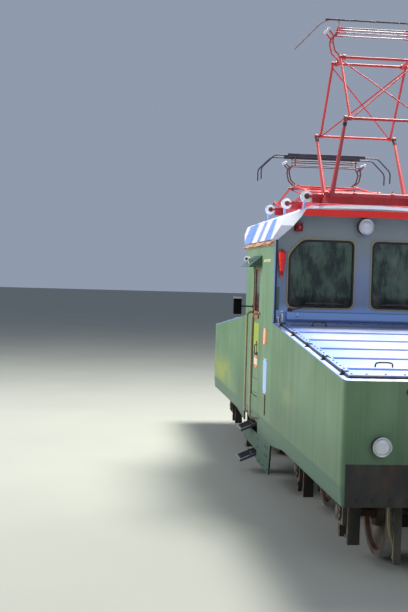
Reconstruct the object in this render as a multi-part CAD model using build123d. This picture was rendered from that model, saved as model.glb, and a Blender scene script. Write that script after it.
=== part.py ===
"""Narrow-gauge electric locomotive with a centre cab, two sloping hoods,
two outside-framed bogies and two diamond pantographs.

Millimetres. +X is forward along the rails, +Y the left side, +Z up.
Z = 0 is the lowest point of the wheels (the flange tips), X = Y = 0 the middle.
"""
from build123d import *
from math import asin, atan2, cos, degrees, hypot, pi, radians, sin
import os

# Running gear
GAUGE_BACK = 840            # between the inner faces of a wheelset's wheels
WHEEL_WIDTH = 125
TREAD_R = 425
FLANGE = 28                 # flange tip below the tread; the rail's top is at Z = FLANGE
AXLE_R = 75
JOURNAL_R = 55
JOURNAL_END = 865           # half the axle's length
WHEELBASE = 2000            # of one bogie
WHEEL_CLEAR = 22            # between a wheel and the bogie's end beam
END_BEAM = 70
SIDE_FRAME_Y = 730          # inner face of a bogie's side frame
SIDE_FRAME_T = 70
PIVOT_R = 60
RUNNING_FIT = 0.05
SEAT = 0.3                  # gap left between seated curved or moving faces
PIN_GAP = 6.0               # side gap between parts that swing past each other

RAIL = FLANGE
AXLE_Z = TREAD_R + FLANGE
WHEEL_R = TREAD_R + FLANGE
BOGIE_END = WHEELBASE / 2 + WHEEL_R + WHEEL_CLEAR + END_BEAM     # half the bogie's length

# Body
BODY_L = 9320
BODY_W = 2200
CAB_L = 2186
PANEL = 40                  # thickness of a side or end panel
BODY_BOTTOM = RAIL + 650
CREASE = RAIL + 830         # below this line the sides lean in
LEAN = 20
SKIRT_BOTTOM = RAIL + 200   # of the deep skirt under the cab
SKIRT_TOP_X = 1070          # half the skirt's length at its top
SKIRT_LOW_X = 986
ARCH_X = 1870               # where the body's bottom edge starts to fall towards the skirt
ARCH_Z = RAIL + 571
HOOD_Z_CAB = RAIL + 2056    # hood's top beside the cab
HOOD_Z_END = RAIL + 1740
HOOD_CORNER = 70
WHEEL_TO_DECK = 94          # above the wheels
DECK_Z = AXLE_Z + WHEEL_R + WHEEL_TO_DECK       # underside of the deck
DECK_T = 50
EAVE = RAIL + 3030
SIDE = BODY_W / 2
END = BODY_L / 2
CAB = CAB_L / 2
DECK_TOP = DECK_Z + DECK_T
END_PLATE = 60
DRAFT_BOX = 240             # from the body's end to the back of the coupler's housing
BOGIE_CLEAR = 75            # from there to the bogie
BOGIE_PITCH = BODY_L - 2 * (DRAFT_BOX + BOGIE_CLEAR + BOGIE_END)      # between the bogie pivots
BOGIE_INNER = BOGIE_PITCH / 2 - BOGIE_END      # from the middle to a bogie

# Roof
ROOF_END = 1450             # tip of the roof's brow
BROW_TIP_Z = RAIL + 3215
BROW_TOP_X = 1290           # where the brow's top edge meets the crown
ROOF_OUT = [                # (Y, Z), then the crown
    (SIDE + 40, RAIL + 3060),
    (SIDE - 38, RAIL + 3318),
    (SIDE - 380, RAIL + 3456),
]
ROOF_IN = [
    (SIDE - PANEL, RAIL + 3070),
    (SIDE - 195, RAIL + 3262),
    (SIDE - 260, RAIL + 3330),
    (SIDE - 325, RAIL + 3425),
]
CROWN = RAIL + 3492
CEILING = RAIL + 3445
FASCIA_Z = RAIL + 3345
FASCIA_X = 1330
DRIP_Z = (RAIL + 3005, RAIL + 3060)

# Doors, windows and steps, from the middle of the cab
DOOR_X = (-90, 420)
DOOR_Z = (DECK_TOP + 10, RAIL + 2800)
DOOR_GAP = 7
DOOR_T = 28
DOOR_INSET = 12
HINGE = (418, SIDE - PANEL - 12)        # X, Y of the left door's hinge pins
HINGE_Z = (RAIL + 1200, RAIL + 1900, RAIL + 2640)
HINGE_PIN_R = 5
FLOOR_T = 8
DOOR_WINDOW = (60, RAIL + 2090, RAIL + 2720)    # margin in X, lowest and highest Z
HANDLE = (60, RAIL + 1590, RAIL + 1715)         # X, lowest and highest Z
WALL_X = CAB - 33           # outer face of a cab end wall
END_WINDOW_Y = (110, SIDE - 180)
END_WINDOW_Z = (RAIL + 2250, RAIL + 3075)
WINDOW_CHAMFER = 165
WINDOW_R = 70
GLASS_T = 12
FRAME_W = 28
FRAME_PROUD = 10
STEP_X = (-80, 986)
STEP_WELLS = [              # lowest and highest Z of each well in the skirt, Z of its tread's tip
    (RAIL + 553, RAIL + 710, RAIL + 562),
    (SKIRT_BOTTOM - 40, RAIL + 335, RAIL + 155),
]
STEP_TREAD_X = (250, 620)
STEP_REACH = SIDE + 150     # a tread's tip from the middle
STEP_SLOPE = 0.42
STEP_BACK = 170             # depth of a well behind the skirt

# Pantographs
PAN_X = 1250                # from the middle to each pantograph's middle
INSULATOR_Y = SIDE - 335
INSULATOR_R = 68
BASE_RAIL_Y = INSULATOR_Y - 195         # to a long bar of the base frame
PAN_Y = BASE_RAIL_Y - 70    # to a lower arm's middle
PAN_UPPER_Y = PAN_Y - 50    # to an upper arm's middle
YOKE_Y = PAN_UPPER_Y - 45   # to the head's yoke
PAN_PIVOT = 190             # base and top pivots, from the pantograph's middle
PAN_ARM = 975               # between an arm's pivots
PAN_BASE_Z = RAIL + 3600
PAN_RAISED = 55.0           # angle of the lower arms, degrees above level
PAN_LOWERED = 9.0
PAN_PIN = 16
PAN_SHAFT = 22
OPEN_PIVOT = 2.0            # clearance at the pivot where the linkage is opened
BASE_END = PAN_X + 250
CROSS_X = (-PAN_X, 0, PAN_X)


def block(x0, x1, y0, y1, z0, z1):
    size = (abs(x1 - x0), abs(y1 - y0), abs(z1 - z0))
    return Pos((x0 + x1) / 2, (y0 + y1) / 2, (z0 + z1) / 2) * Box(*size)


def prism_x(points, x0, x1):
    """Outline of (Y, Z) points drawn out along X."""
    return extrude(Plane.YZ.offset(x0) * Polygon(*points, align=None), amount=x1 - x0, dir=(1, 0, 0))


def prism_y(points, y0, y1):
    """Outline of (X, Z) points drawn out along Y."""
    plane = Plane(origin=(0, y0, 0), x_dir=(1, 0, 0), z_dir=(0, -1, 0))
    return extrude(plane * Polygon(*points, align=None), amount=y1 - y0, dir=(0, 1, 0))


def prism_z(points, z0, z1):
    return extrude(Plane.XY.offset(z0) * Polygon(*points, align=None), amount=z1 - z0, dir=(0, 0, 1))


def rod(start, end, radius):
    a, b = Vector(*start), Vector(*end)
    plane = Plane(origin=a, z_dir=(b - a).normalized())
    return extrude(plane * Circle(radius), amount=(b - a).length)


def ring(centre, direction, r_out, r_in, length):
    """A round boss or washer with its middle at centre."""
    d = Vector(*direction).normalized()
    plane = Plane(origin=Vector(*centre) - d * (length / 2), z_dir=d)
    face = Circle(r_out) if r_in == 0 else Circle(r_out) - Circle(r_in)
    return extrude(plane * face, amount=length)


def tube_path(points, bend, radius):
    """A round bar bent along the points, with one bend radius."""
    path = FilletPolyline(*points, radius=bend)
    return sweep(Plane(origin=path @ 0, z_dir=path % 0) * Circle(radius), path=path)


def fuse(shapes):
    first, *rest = shapes
    for shape in rest:
        first = first + shape
    return first


def flip(shape):
    """The same piece at the other end and on the other side."""
    return Rot(0, 0, 180) * shape


def mirrored(shape, across=Plane.XZ):
    return mirror(shape, about=across)


def save(name, *shapes):
    solids = [solid for shape in shapes for solid in shape.solids()]
    export_step(Compound(children=solids), f"parts/{name}.step")


# Running gear

def wheel():
    """Left wheel of a wheelset: flange, coned tread, dished web and hub."""
    back = GAUGE_BACK / 2
    front = back + WHEEL_WIDTH
    profile = [
        (back - 12, AXLE_R - 5), (back - 12, 135), (back + 35, 150), (back + 50, 350), (back, 362),
        (back, WHEEL_R - 12), (back + 10, WHEEL_R), (back + 22, WHEEL_R - 2), (back + 34, TREAD_R + 4),
        (front, TREAD_R - 2), (front, 366), (back + 85, 350), (back + 72, 150), (front + 12, 135),
        (front + 12, AXLE_R - 5),
    ]
    return revolve(Plane.YZ * Polygon(*profile, align=None), axis=Axis.Y)


def wheelset(x):
    left = wheel()
    axle = ring((0, 0, 0), (0, 1, 0), AXLE_R, 0, 2 * (GAUGE_BACK / 2 + WHEEL_WIDTH + 40))
    journal = ring((0, 0, 0), (0, 1, 0), JOURNAL_R, 0, 2 * JOURNAL_END)
    return Pos(x, 0, AXLE_Z) * fuse([left, mirrored(left), axle, journal])


LEG = (128, 176)            # pedestal leg, from the axle
BEAM_Z = (AXLE_Z + 157, AXLE_Z + 307)           # side frame's top beam
LEG_FOOT = AXLE_Z - 283
GUARD_IRON_Z = RAIL + 62    # lowest point of the irons before the outer wheels
BOX_HALF = 122              # axlebox
BOX_Y = (715, 885)
BOLSTER_TOP = DECK_Z - 100
TRANSOM_X = 250


def side_frame():
    """Left side frame with its pedestal legs, in the bogie's own frame."""
    half = WHEELBASE / 2
    low, high = BEAM_Z
    outline = [(-BOGIE_END, low + 30), (-BOGIE_END, high - 20), (-half - 380, high), (half + 380, high),
               (BOGIE_END, high - 20), (BOGIE_END, low + 30), (half + 300, low), (half - 330, low),
               (330, low - 50), (-330, low - 50), (-half + 330, low), (-half - 300, low)]
    y0, y1 = SIDE_FRAME_Y, SIDE_FRAME_Y + SIDE_FRAME_T
    parts = [prism_y(outline, y0, y1)]
    for axle in (-half, half):
        for side in (-1, 1):
            a, b = axle + side * LEG[0], axle + side * LEG[1]
            foot = axle + side * (LEG[1] + 4)
            top = axle + side * (LEG[1] + 70)
            parts.append(prism_y([(a, LEG_FOOT), (foot, LEG_FOOT), (b, AXLE_Z - 33), (top, low + 5), (a, low + 5)],
                                 y0, y1))
            parts.append(block(min(a, foot), max(a, foot), y1 - 5, y1 + 45, LEG_FOOT, low - 50))
        parts.append(block(axle - LEG[1], axle + LEG[1], y0, y1, LEG_FOOT, LEG_FOOT + 34))
        parts.append(axlebox(axle))
    return fuse(parts)


def axlebox(x):
    body = block(x - BOX_HALF - 7, x + BOX_HALF + 7, *BOX_Y, AXLE_Z - 115, AXLE_Z + 110)
    cover = ring((x, BOX_Y[1], AXLE_Z), (0, 1, 0), 92, 0, 36)
    spring = [ring((x + s * 62, SIDE_FRAME_Y + 35, AXLE_Z + 135), (0, 0, 1), 42, 0, 60) for s in (-1, 1)]
    return fuse([body, cover] + spring)


def bogie_frame():
    left = side_frame()
    low, high = BEAM_Z
    parts = [left, mirrored(left)]
    for x in (-TRANSOM_X, TRANSOM_X):
        parts.append(block(x - 60, x + 60, -SIDE_FRAME_Y - 5, SIDE_FRAME_Y + 5, low - 10, high - 20))
    for s in (-1, 1):
        parts.append(block(s * (BOGIE_END - END_BEAM), s * BOGIE_END, -SIDE_FRAME_Y - 5, SIDE_FRAME_Y + 5,
                           low + 35, high - 25))
        for y in (-1, 1):
            iron = [(s * (BOGIE_END - 5), low + 50), (s * (BOGIE_END - 5), GUARD_IRON_Z),
                    (s * (BOGIE_END - 21), GUARD_IRON_Z), (s * (BOGIE_END - 21), low + 50)]
            y0 = y * 482 - 35
            parts.append(prism_y(iron, y0, y0 + 70))
    parts.append(block(-TRANSOM_X, TRANSOM_X, -260, 260, low + 10, BOLSTER_TOP - 60))
    parts.append(ring((0, 0, BOLSTER_TOP - 65), (0, 0, 1), 200, 0, 130))
    frame = fuse(parts)
    frame -= ring((0, 0, BOLSTER_TOP - 100), (0, 0, 1), PIVOT_R + RUNNING_FIT, 0, 300)
    for axle in (-WHEELBASE / 2, WHEELBASE / 2):
        frame -= ring((axle, 0, AXLE_Z), (0, 1, 0), JOURNAL_R + RUNNING_FIT, 0, 2 * JOURNAL_END + 4)
    return frame


def traction_motor(side):
    """Plain motor block hung on the transom, with its gear case round the axle."""
    near = side * (TRANSOM_X + 60)
    far = side * (WHEELBASE / 2 - AXLE_R - 60)
    motor = block(near, far, -330, 300, AXLE_Z - 193, AXLE_Z + 187)
    case = ring((side * WHEELBASE / 2, 345, AXLE_Z), (0, 1, 0), 190, 0, 70)
    arm = block(side * WHEELBASE / 2, far - side * 40, 310, 380, AXLE_Z - 150, AXLE_Z + 150)
    nose = block(near, near + side * 60, -330, 300, AXLE_Z + 147, AXLE_Z + 247)
    case = case + arm - ring((side * WHEELBASE / 2, 345, AXLE_Z), (0, 1, 0), AXLE_R + 6, 0, 90)
    return motor + nose + case + block(far - side * 60, far, 290, 320, AXLE_Z - 123, AXLE_Z + 127)


def brake_gear(side):
    """Cross bar with two hung shoes at the inner side of an axle's wheels."""
    axle = side * WHEELBASE / 2
    x = axle - side * (TREAD_R + 45)
    bar_z = AXLE_Z + 192
    parts = []
    for y in (-1, 1):
        yc = y * (GAUGE_BACK / 2 + 80)
        parts.append(rod((x, y * SIDE_FRAME_Y, bar_z), (x, yc - y * 40, bar_z), 20))
        shoe = block(axle - side * (TREAD_R + 70), axle - side * (TREAD_R - 40), yc - 40, yc + 40, AXLE_Z - 110, AXLE_Z + 60)
        shoe -= ring((axle, yc, AXLE_Z), (0, 1, 0), TREAD_R + 10, 0, 100)
        hanger = block(x - 12, x + 12, yc - 25, yc + 25, AXLE_Z - 40, bar_z + 30)
        hanger -= ring((axle, yc, AXLE_Z), (0, 1, 0), TREAD_R + 10, 0, 100)
        parts += [shoe, hanger]
    return fuse(parts)


def build_bogies():
    for name, x, turn in (("front", BOGIE_PITCH / 2, 0), ("rear", -BOGIE_PITCH / 2, 180)):
        place = Pos(x, 0, 0) * Rot(0, 0, turn)
        save(f"bogie_frame_{name}", place * bogie_frame())
        save(f"traction_motors_{name}", place * traction_motor(1), place * traction_motor(-1))
        save(f"brake_gear_{name}", place * brake_gear(1), place * brake_gear(-1))
        for end, axle in (("outer", WHEELBASE / 2), ("inner", -WHEELBASE / 2)):
            save(f"wheelset_{name}_{end}", place * wheelset(axle))


# Underframe

TANK_HALF = BOGIE_INNER - 505           # half an air tank's length
CROSS_MEMBER_X = TANK_HALF - 50
CROSS_MEMBER_Z = DECK_Z - 100
LONG_BEAM_Y = 390
LONG_BEAM_W = 70


def underframe():
    parts = [block(-END + END_PLATE, END - END_PLATE, -SIDE + PANEL, SIDE - PANEL, DECK_Z, DECK_TOP)]
    for y in (-LONG_BEAM_Y, LONG_BEAM_Y):
        parts.append(block(-END + END_PLATE, END - END_PLATE, y - LONG_BEAM_W / 2, y + LONG_BEAM_W / 2,
                           DECK_Z - 70, DECK_Z))
    for s in (-1, 1):
        pivot = s * BOGIE_PITCH / 2
        parts.append(block(pivot - 150, pivot + 150, -SIDE + 3 * PANEL, SIDE - 3 * PANEL, DECK_Z - 75, DECK_Z))
        parts.append(ring((pivot, 0, DECK_Z - 50 + SEAT / 2), (0, 0, 1), 200, 0, 100 - SEAT))
        parts.append(ring((pivot, 0, DECK_Z - 150), (0, 0, 1), PIVOT_R, 0, 120))
        parts.append(block(s * (END - END_PLATE), s * END, -SIDE + PANEL, SIDE - PANEL, BODY_BOTTOM, DECK_TOP))
        parts.append(block(s * (END - END_PLATE), s * END, -330, 330, COUPLER_Z - 150, BODY_BOTTOM))
        parts.append(block(s * (END - DRAFT_BOX), s * (END - END_PLATE), -160, 160, COUPLER_Z - 120, DECK_Z))
    for x in (-CROSS_MEMBER_X, 0, CROSS_MEMBER_X):
        parts.append(block(x - 30, x + 30, -SIDE + PANEL, SIDE - PANEL, CROSS_MEMBER_Z, DECK_Z))
    return fuse(parts)


COUPLER_Z = RAIL + 620
COUPLER_REACH = 430
COUPLER_PIN_R = 18


def coupler():
    """Centre buffer with a jaw and an upright pin hole, at the front end."""
    face = END + COUPLER_REACH
    shank = block(END, face - 90, -60, 60, COUPLER_Z - 60, COUPLER_Z + 60)
    collar = block(END, END + 40, -140, 140, COUPLER_Z - 110, COUPLER_Z + 110)
    plane = Plane(origin=(face - 60, 0, COUPLER_Z), x_dir=(0, 1, 0), z_dir=(1, 0, 0))
    plate = extrude(plane * RectangleRounded(380, 260, 100), amount=60)
    jaw = loft([Plane(origin=(face - 220, 0, COUPLER_Z), x_dir=(0, 1, 0), z_dir=(1, 0, 0)) * Rectangle(130, 130),
                Plane(origin=(face - 58, 0, COUPLER_Z), x_dir=(0, 1, 0), z_dir=(1, 0, 0)) * Rectangle(260, 190)])
    boss = ring((face - 80, 0, COUPLER_Z), (0, 0, 1), 42, 0, 190)
    head = shank + collar + plate + jaw + boss
    head -= block(face - 150, face + 5, -110, 110, COUPLER_Z - 32, COUPLER_Z + 32)
    head -= ring((face - 80, 0, COUPLER_Z), (0, 0, 1), COUPLER_PIN_R, 0, 400)
    return head


def build_underframe():
    save("underframe", underframe())
    front = coupler()
    save("couplers", front, flip(front))


# Hoods

def side_profile(top):
    """Section of the body's left wall from its bottom edge up to top, as (Y, Z) points."""
    return [(SIDE, top), (SIDE, CREASE), (SIDE - LEAN, BODY_BOTTOM), (SIDE - LEAN, SKIRT_BOTTOM),
            (SIDE - PANEL, SKIRT_BOTTOM), (SIDE - PANEL, top)]


def hood():
    """Front hood: closed housing on the deck, whose side panels hang past it."""
    outline = [(CAB, DECK_TOP), (END, DECK_TOP), (END, HOOD_Z_END), (CAB, HOOD_Z_CAB)]
    housing = prism_y(outline, -SIDE, SIDE)
    low = [(CAB, ARCH_Z), (CAB, DECK_TOP + 5), (END, DECK_TOP + 5), (END, BODY_BOTTOM), (ARCH_X, BODY_BOTTOM)]
    wall = prism_x(side_profile(DECK_TOP + 5), CAB, END) & prism_y(low, SIDE - 200, SIDE + 200)
    plan = extrude(RectangleRounded(BODY_L, BODY_W, HOOD_CORNER), amount=HOOD_Z_CAB + 100)
    return fuse([housing, wall, mirrored(wall)]) & plan


COVER_MARGIN = 75
COVER_T = 28
RIB_COUNT = 6


def hood_cover():
    """Lift-off cover of the front hood, lying on the sloping top, with cross ribs."""
    slope = atan2(HOOD_Z_CAB - HOOD_Z_END, END - CAB)
    length = hypot(HOOD_Z_CAB - HOOD_Z_END, END - CAB)
    half = SIDE - COVER_MARGIN
    cover = block(110, length - 120, -half, half, 0, COVER_T)
    pitch = (length - 230) / RIB_COUNT
    for i in range(RIB_COUNT):
        x = 110 + pitch * (i + 0.5)
        cover += block(x - 25, x + 25, -half + 60, half - 60, COVER_T - 1, COVER_T + 16)
    return Pos(CAB, 0, HOOD_Z_CAB) * Rot(0, degrees(slope), 0) * cover


def build_hoods():
    front = hood()
    save("hood_front", front)
    save("hood_rear", flip(front))
    cover = hood_cover()
    save("hood_covers", cover, flip(cover))


# Cab

def outline_arch(points, crown_z, half_only=False):
    """Closed (Y, Z) face under a roof line: points on the left, mirrored, joined by an arc at the crown."""
    left = [(y, z) for y, z in points]
    right = [(-y, z) for y, z in reversed(points)]
    with BuildSketch(Plane.YZ) as sketch:
        with BuildLine():
            Polyline(*left)
            ThreePointArc(left[-1], (0, crown_z), right[0])
            Polyline(*right)
            Line(right[-1], left[0])
        make_face()
    return sketch.sketch


def cab_roof():
    """Arched roof sheet with a sloping brow at each end, open underneath."""
    outer = outline_arch(ROOF_OUT, CROWN)
    inner = outline_arch([(ROOF_IN[0][0], ROOF_IN[0][1] - 60)] + ROOF_IN, CEILING + 3)
    shell = extrude(outer, amount=ROOF_END, both=True) - extrude(inner, amount=ROOF_END + 10, both=True)
    for s in (-1, 1):
        above = [(s * ROOF_END, BROW_TIP_Z), (s * BROW_TOP_X, CROWN + 10), (s * (ROOF_END + 99), CROWN + 10),
                 (s * (ROOF_END + 99), BROW_TIP_Z)]
        below = [(s * (CAB + 10), ROOF_OUT[0][1] - 10), (s * ROOF_END, BROW_TIP_Z), (s * (ROOF_END + 99), BROW_TIP_Z),
                 (s * (ROOF_END + 99), ROOF_OUT[0][1] - 10)]
        shell -= prism_y(above, -1400, 1400)
        shell -= prism_y(below, -1400, 1400)
    return shell


def fascia():
    """End plate closing the raised middle of the roof, at the front."""
    (y0, z0), (y1, z1) = ROOF_IN[2], ROOF_IN[3]
    y_low = y0 + (y1 - y0) * (FASCIA_Z - z0) / (z1 - z0) - SEAT
    points = [(y_low, FASCIA_Z), (y1 - SEAT, z1 - SEAT), (-y1 + SEAT, z1 - SEAT), (-y_low, FASCIA_Z)]
    return prism_x(points, FASCIA_X - 30, FASCIA_X - 12)


def drip_rail():
    """Flared strip along the left eave."""
    points = [(SIDE, EAVE - 34), (SIDE + 52, DRIP_Z[0]), (SIDE + 58, DRIP_Z[0] + 6), (SIDE + 6, DRIP_Z[1] - 1),
              (SIDE, DRIP_Z[1] - 1)]
    return prism_x(points, -CAB - 8, CAB + 8)


def cab_side(doors=True):
    """Left side of the cab in one panel from the eave to the deep skirt."""
    outline = [(-CAB, ROOF_OUT[0][1]), (CAB, ROOF_OUT[0][1]), (CAB, ARCH_Z), (SKIRT_TOP_X, ARCH_Z),
               (SKIRT_LOW_X, SKIRT_BOTTOM), (-SKIRT_LOW_X, SKIRT_BOTTOM), (-SKIRT_TOP_X, ARCH_Z), (-CAB, ARCH_Z)]
    panel = prism_x(side_profile(ROOF_OUT[0][1]), -CAB, CAB) & prism_y(outline, SIDE - 200, SIDE + 200)
    panel -= block(DOOR_X[0], DOOR_X[1], SIDE - 100, SIDE + 100, *DOOR_Z)
    for z0, z1, tip in STEP_WELLS:
        panel -= block(STEP_X[0], STEP_X[1] + 300, SIDE - 100, SIDE + 100, z0, z1)
    x, y = HINGE
    for z in HINGE_Z:
        panel += ring((x, y, z), (0, 0, 1), HINGE_PIN_R, 0, 110)
        for s in (-1, 1):
            panel += ring((x, y, z + s * 46), (0, 0, 1), 9, 0, 28)
            panel += block(x, x + 52, y - 6, SIDE - PANEL + 1, z + s * 32, z + s * 60)
    return panel


def step_well():
    """Box behind the left skirt that carries the two treads."""
    skirt = SIDE - PANEL
    x0, x1 = STEP_X[0] - 20, SKIRT_LOW_X - 40
    z0, z1 = SKIRT_BOTTOM + 10, CROSS_MEMBER_Z
    shell = block(x0, x1, skirt - STEP_BACK, skirt, z0, z1)
    return shell - block(x0 + 18, x1 - 18, skirt - STEP_BACK + 18, skirt + 10, z0 - 10, z1 - 18)


def step_tread(tip):
    """Channel-shaped tread that slopes down and out from the well's back."""
    inner_y = SIDE - PANEL - STEP_BACK + 18
    rise = (STEP_REACH - inner_y) * STEP_SLOPE
    tread = prism_x([(inner_y, tip + rise), (STEP_REACH, tip), (STEP_REACH - 8, tip - 36), (inner_y, tip + rise - 38)],
                    *STEP_TREAD_X)
    y0, y1 = inner_y + 30, STEP_REACH - 22
    z0, z1 = tip + (STEP_REACH - y0) * STEP_SLOPE, tip + (STEP_REACH - y1) * STEP_SLOPE
    well = prism_x([(y0, z0 + 5), (y1, z1 + 5), (y1, z1 - 22), (y0, z0 - 22)], STEP_TREAD_X[0] + 12, STEP_TREAD_X[1] - 12)
    return tread - well


def end_window(margin=0.0):
    """(Y, Z) outline of the left window of a cab end, grown by margin."""
    y0, y1 = END_WINDOW_Y[0] - margin, END_WINDOW_Y[1] + margin
    z0, z1 = END_WINDOW_Z[0] - margin, END_WINDOW_Z[1] + margin
    cut = WINDOW_CHAMFER + margin * 0.4
    face = Plane.YZ * Polygon((y0, z0), (y1, z0), (y1, z1 - cut * 1.12), (y1 - cut, z1), (y0, z1), align=None)
    return fillet(face.vertices(), WINDOW_R)


LEDGE_Z = (RAIL + 2104, RAIL + 2196)
LEDGE_REACH = 60


def cab_wall():
    """Front end wall of the cab with its two windows and the ledge below them."""
    points = [(ROOF_IN[0][0], DECK_TOP)] + ROOF_IN
    inner = outline_arch(points, CEILING)
    wall = Pos(WALL_X - PANEL, 0, 0) * extrude(inner, amount=PANEL, dir=(1, 0, 0))
    hole = Pos(WALL_X - PANEL - 5, 0, 0) * extrude(end_window(), amount=PANEL + 10, dir=(1, 0, 0))
    wall = wall - hole - mirrored(hole)
    return wall + block(WALL_X - 1, WALL_X + LEDGE_REACH, -SIDE + 170, SIDE - 170, *LEDGE_Z)


def window_frame():
    """Rubber frame of the left end window, standing a little proud."""
    outer = Pos(WALL_X, 0, 0) * extrude(end_window(FRAME_W / 2), amount=FRAME_PROUD, dir=(1, 0, 0))
    return outer - Pos(WALL_X - 5, 0, 0) * extrude(end_window(-FRAME_W / 2), amount=FRAME_PROUD + 10, dir=(1, 0, 0))


def window_glass():
    middle = WALL_X - PANEL / 2
    pane = Pos(middle - GLASS_T / 2, 0, 0) * extrude(end_window(), amount=GLASS_T, dir=(1, 0, 0))
    return pane


def cab_floor():
    half = WALL_X - PANEL
    return block(-half, half, -SIDE + PANEL, SIDE - PANEL, DECK_TOP, DECK_TOP + FLOOR_T)


def door():
    """Left door leaf, hinged at its front edge, with its window opening."""
    x0, x1 = DOOR_X[0] + DOOR_GAP, DOOR_X[1] - DOOR_GAP
    y1 = SIDE - DOOR_INSET
    leaf = block(x0, x1, y1 - DOOR_T, y1, DOOR_Z[0] + 8, DOOR_Z[1] - 8)
    margin, z0, z1 = DOOR_WINDOW
    leaf -= block(x0 + margin, x1 - margin, y1 - 80, y1 + 20, z0, z1)
    xh, yh = HINGE
    for z in HINGE_Z:
        leaf += ring((xh, yh, z), (0, 0, 1), 10, 0, 56)
        leaf += block(xh - 80, xh - 6, yh + 3, y1 - DOOR_T + 1, z - 28, z + 28)
        leaf -= ring((xh, yh, z), (0, 0, 1), HINGE_PIN_R + RUNNING_FIT, 0, 200)
    x, low, high = HANDLE
    grip = [(x, y1 - 3, low), (x, y1 + 36, low), (x, y1 + 36, high), (x, y1 - 3, high)]
    return leaf + tube_path(grip, 18, 9)


def door_glass():
    x0, x1 = DOOR_X[0] + DOOR_GAP, DOOR_X[1] - DOOR_GAP
    margin, z0, z1 = DOOR_WINDOW
    y = SIDE - DOOR_INSET - DOOR_T / 2
    return block(x0 + margin, x1 - margin, y - 4, y + 4, z0, z1)


def build_cab():
    left = cab_side()
    well = step_well()
    save("cab_side_left", left)
    save("cab_side_right", flip(left))
    save("step_wells", well, flip(well))
    treads = [step_tread(tip) for z0, z1, tip in STEP_WELLS]
    save("step_treads", *treads, *[flip(t) for t in treads])
    wall = cab_wall()
    save("cab_wall_front", wall)
    save("cab_wall_rear", flip(wall))
    save("cab_floor", cab_floor())
    save("cab_roof", cab_roof())
    end = fascia()
    save("roof_fascias", end, flip(end))
    rail = drip_rail()
    save("drip_rails", rail, flip(rail))
    frames = [window_frame(), mirrored(window_frame())]
    save("window_frames", *frames, *[flip(f) for f in frames])
    panes = [window_glass(), mirrored(window_glass())]
    save("end_glass", *panes, *[flip(p) for p in panes])
    leaf, pane = door(), door_glass()
    save("door_left", leaf)
    save("door_right", flip(leaf))
    save("door_glass_left", pane)
    save("door_glass_right", flip(pane))


# Fittings on and in the cab

AWNING_X = (-220, 520)
AWNING_Z = (RAIL + 2745, RAIL + 2885)
AWNING_REACH = 165
GRAB_R = 14
GRABS = [                   # X, stand-off
    (450, 75),
    (-165, 100),
]
GRAB_Z = (RAIL + 770, RAIL + 2130)
MIRROR_X = 450
MIRROR_Y = (SIDE + 156, SIDE + 266)
MIRROR_Z = (RAIL + 2095, RAIL + 2315)


def awning():
    """Small sloping awning over the left door with a gusset at each end."""
    sheet = [(SIDE, AWNING_Z[1]), (SIDE + AWNING_REACH, AWNING_Z[0]), (SIDE + AWNING_REACH, AWNING_Z[0] - 10),
             (SIDE, AWNING_Z[1] - 12)]
    body = prism_x(sheet, *AWNING_X)
    side = [(SIDE, AWNING_Z[1] - 6), (SIDE + AWNING_REACH, AWNING_Z[0] - 6), (SIDE, AWNING_Z[0] - 6)]
    for x in (AWNING_X[0], AWNING_X[1] - 8):
        body += prism_x(side, x, x + 8)
    return body


def grab_rail(x, stand_off):
    y = SIDE + stand_off
    foot_y = SIDE - LEAN * (CREASE - GRAB_Z[0] - GRAB_R) / (CREASE - BODY_BOTTOM)
    points = [(x, foot_y, GRAB_Z[0]), (x, y, GRAB_Z[0]), (x, y, GRAB_Z[1]), (x, SIDE, GRAB_Z[1])]
    return tube_path(points, 55, GRAB_R)


def rear_mirror():
    glass = block(MIRROR_X - 14, MIRROR_X + 14, *MIRROR_Y, *MIRROR_Z)
    middle = (MIRROR_Z[0] + MIRROR_Z[1]) / 2
    arm = rod((MIRROR_X + 20, SIDE, middle), (MIRROR_X + 20, MIRROR_Y[1] - 20, middle), 9)
    return fillet(glass.edges().filter_by(Axis.X), 12) + arm


def flag_case():
    """Tapered case on the front wall's right corner."""
    x, y = WALL_X, -SIDE + 95
    low, high = RAIL + 2612, RAIL + 2945
    r_top, r_low = 40, 14
    cone = Pos(x + r_top + 1, y, 0) * loft([Plane.XY.offset(low) * Circle(r_low), Plane.XY.offset(high - 40) * Circle(r_top)])
    cap = ring((x + r_top + 1, y, high - 32), (0, 0, 1), r_top, 0, 24)
    knob = ring((x + r_top + 1, y, high - 10), (0, 0, 1), 16, 0, 20)
    lug = block(x, x + r_top, y - 18, y + 18, high - 90, high - 50)
    return fuse([cone, cap, knob, lug])


def tail_lamp():
    """Lamp hung under the brow on the left of the front end."""
    body = block(WALL_X, WALL_X + 85, SIDE - 330, SIDE - 250, RAIL + 3165, RAIL + 3262)
    return fillet(body.edges().filter_by(Axis.X), 18)


def headlamp():
    """Pair of lamps under the fascia, in the middle of the front wall."""
    z = RAIL + 3245
    body = ring((WALL_X + 60, 0, z), (1, 0, 0), 92, 0, 120)
    return body - ring((WALL_X + 116, 0, z), (1, 0, 0), 80, 0, 20)


HOOD_LAMP = (SIDE - 340, RAIL + 1180, 82, 60)        # Y, Z, radius, depth


def hood_lamp():
    """Marker lamp on the left of the front hood's end."""
    y, z, radius, depth = HOOD_LAMP
    body = ring((END + depth / 2, y, z), (1, 0, 0), radius, 0, depth)
    return body - ring((END + depth - 4, y, z), (1, 0, 0), radius - 12, 0, 16)


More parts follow.
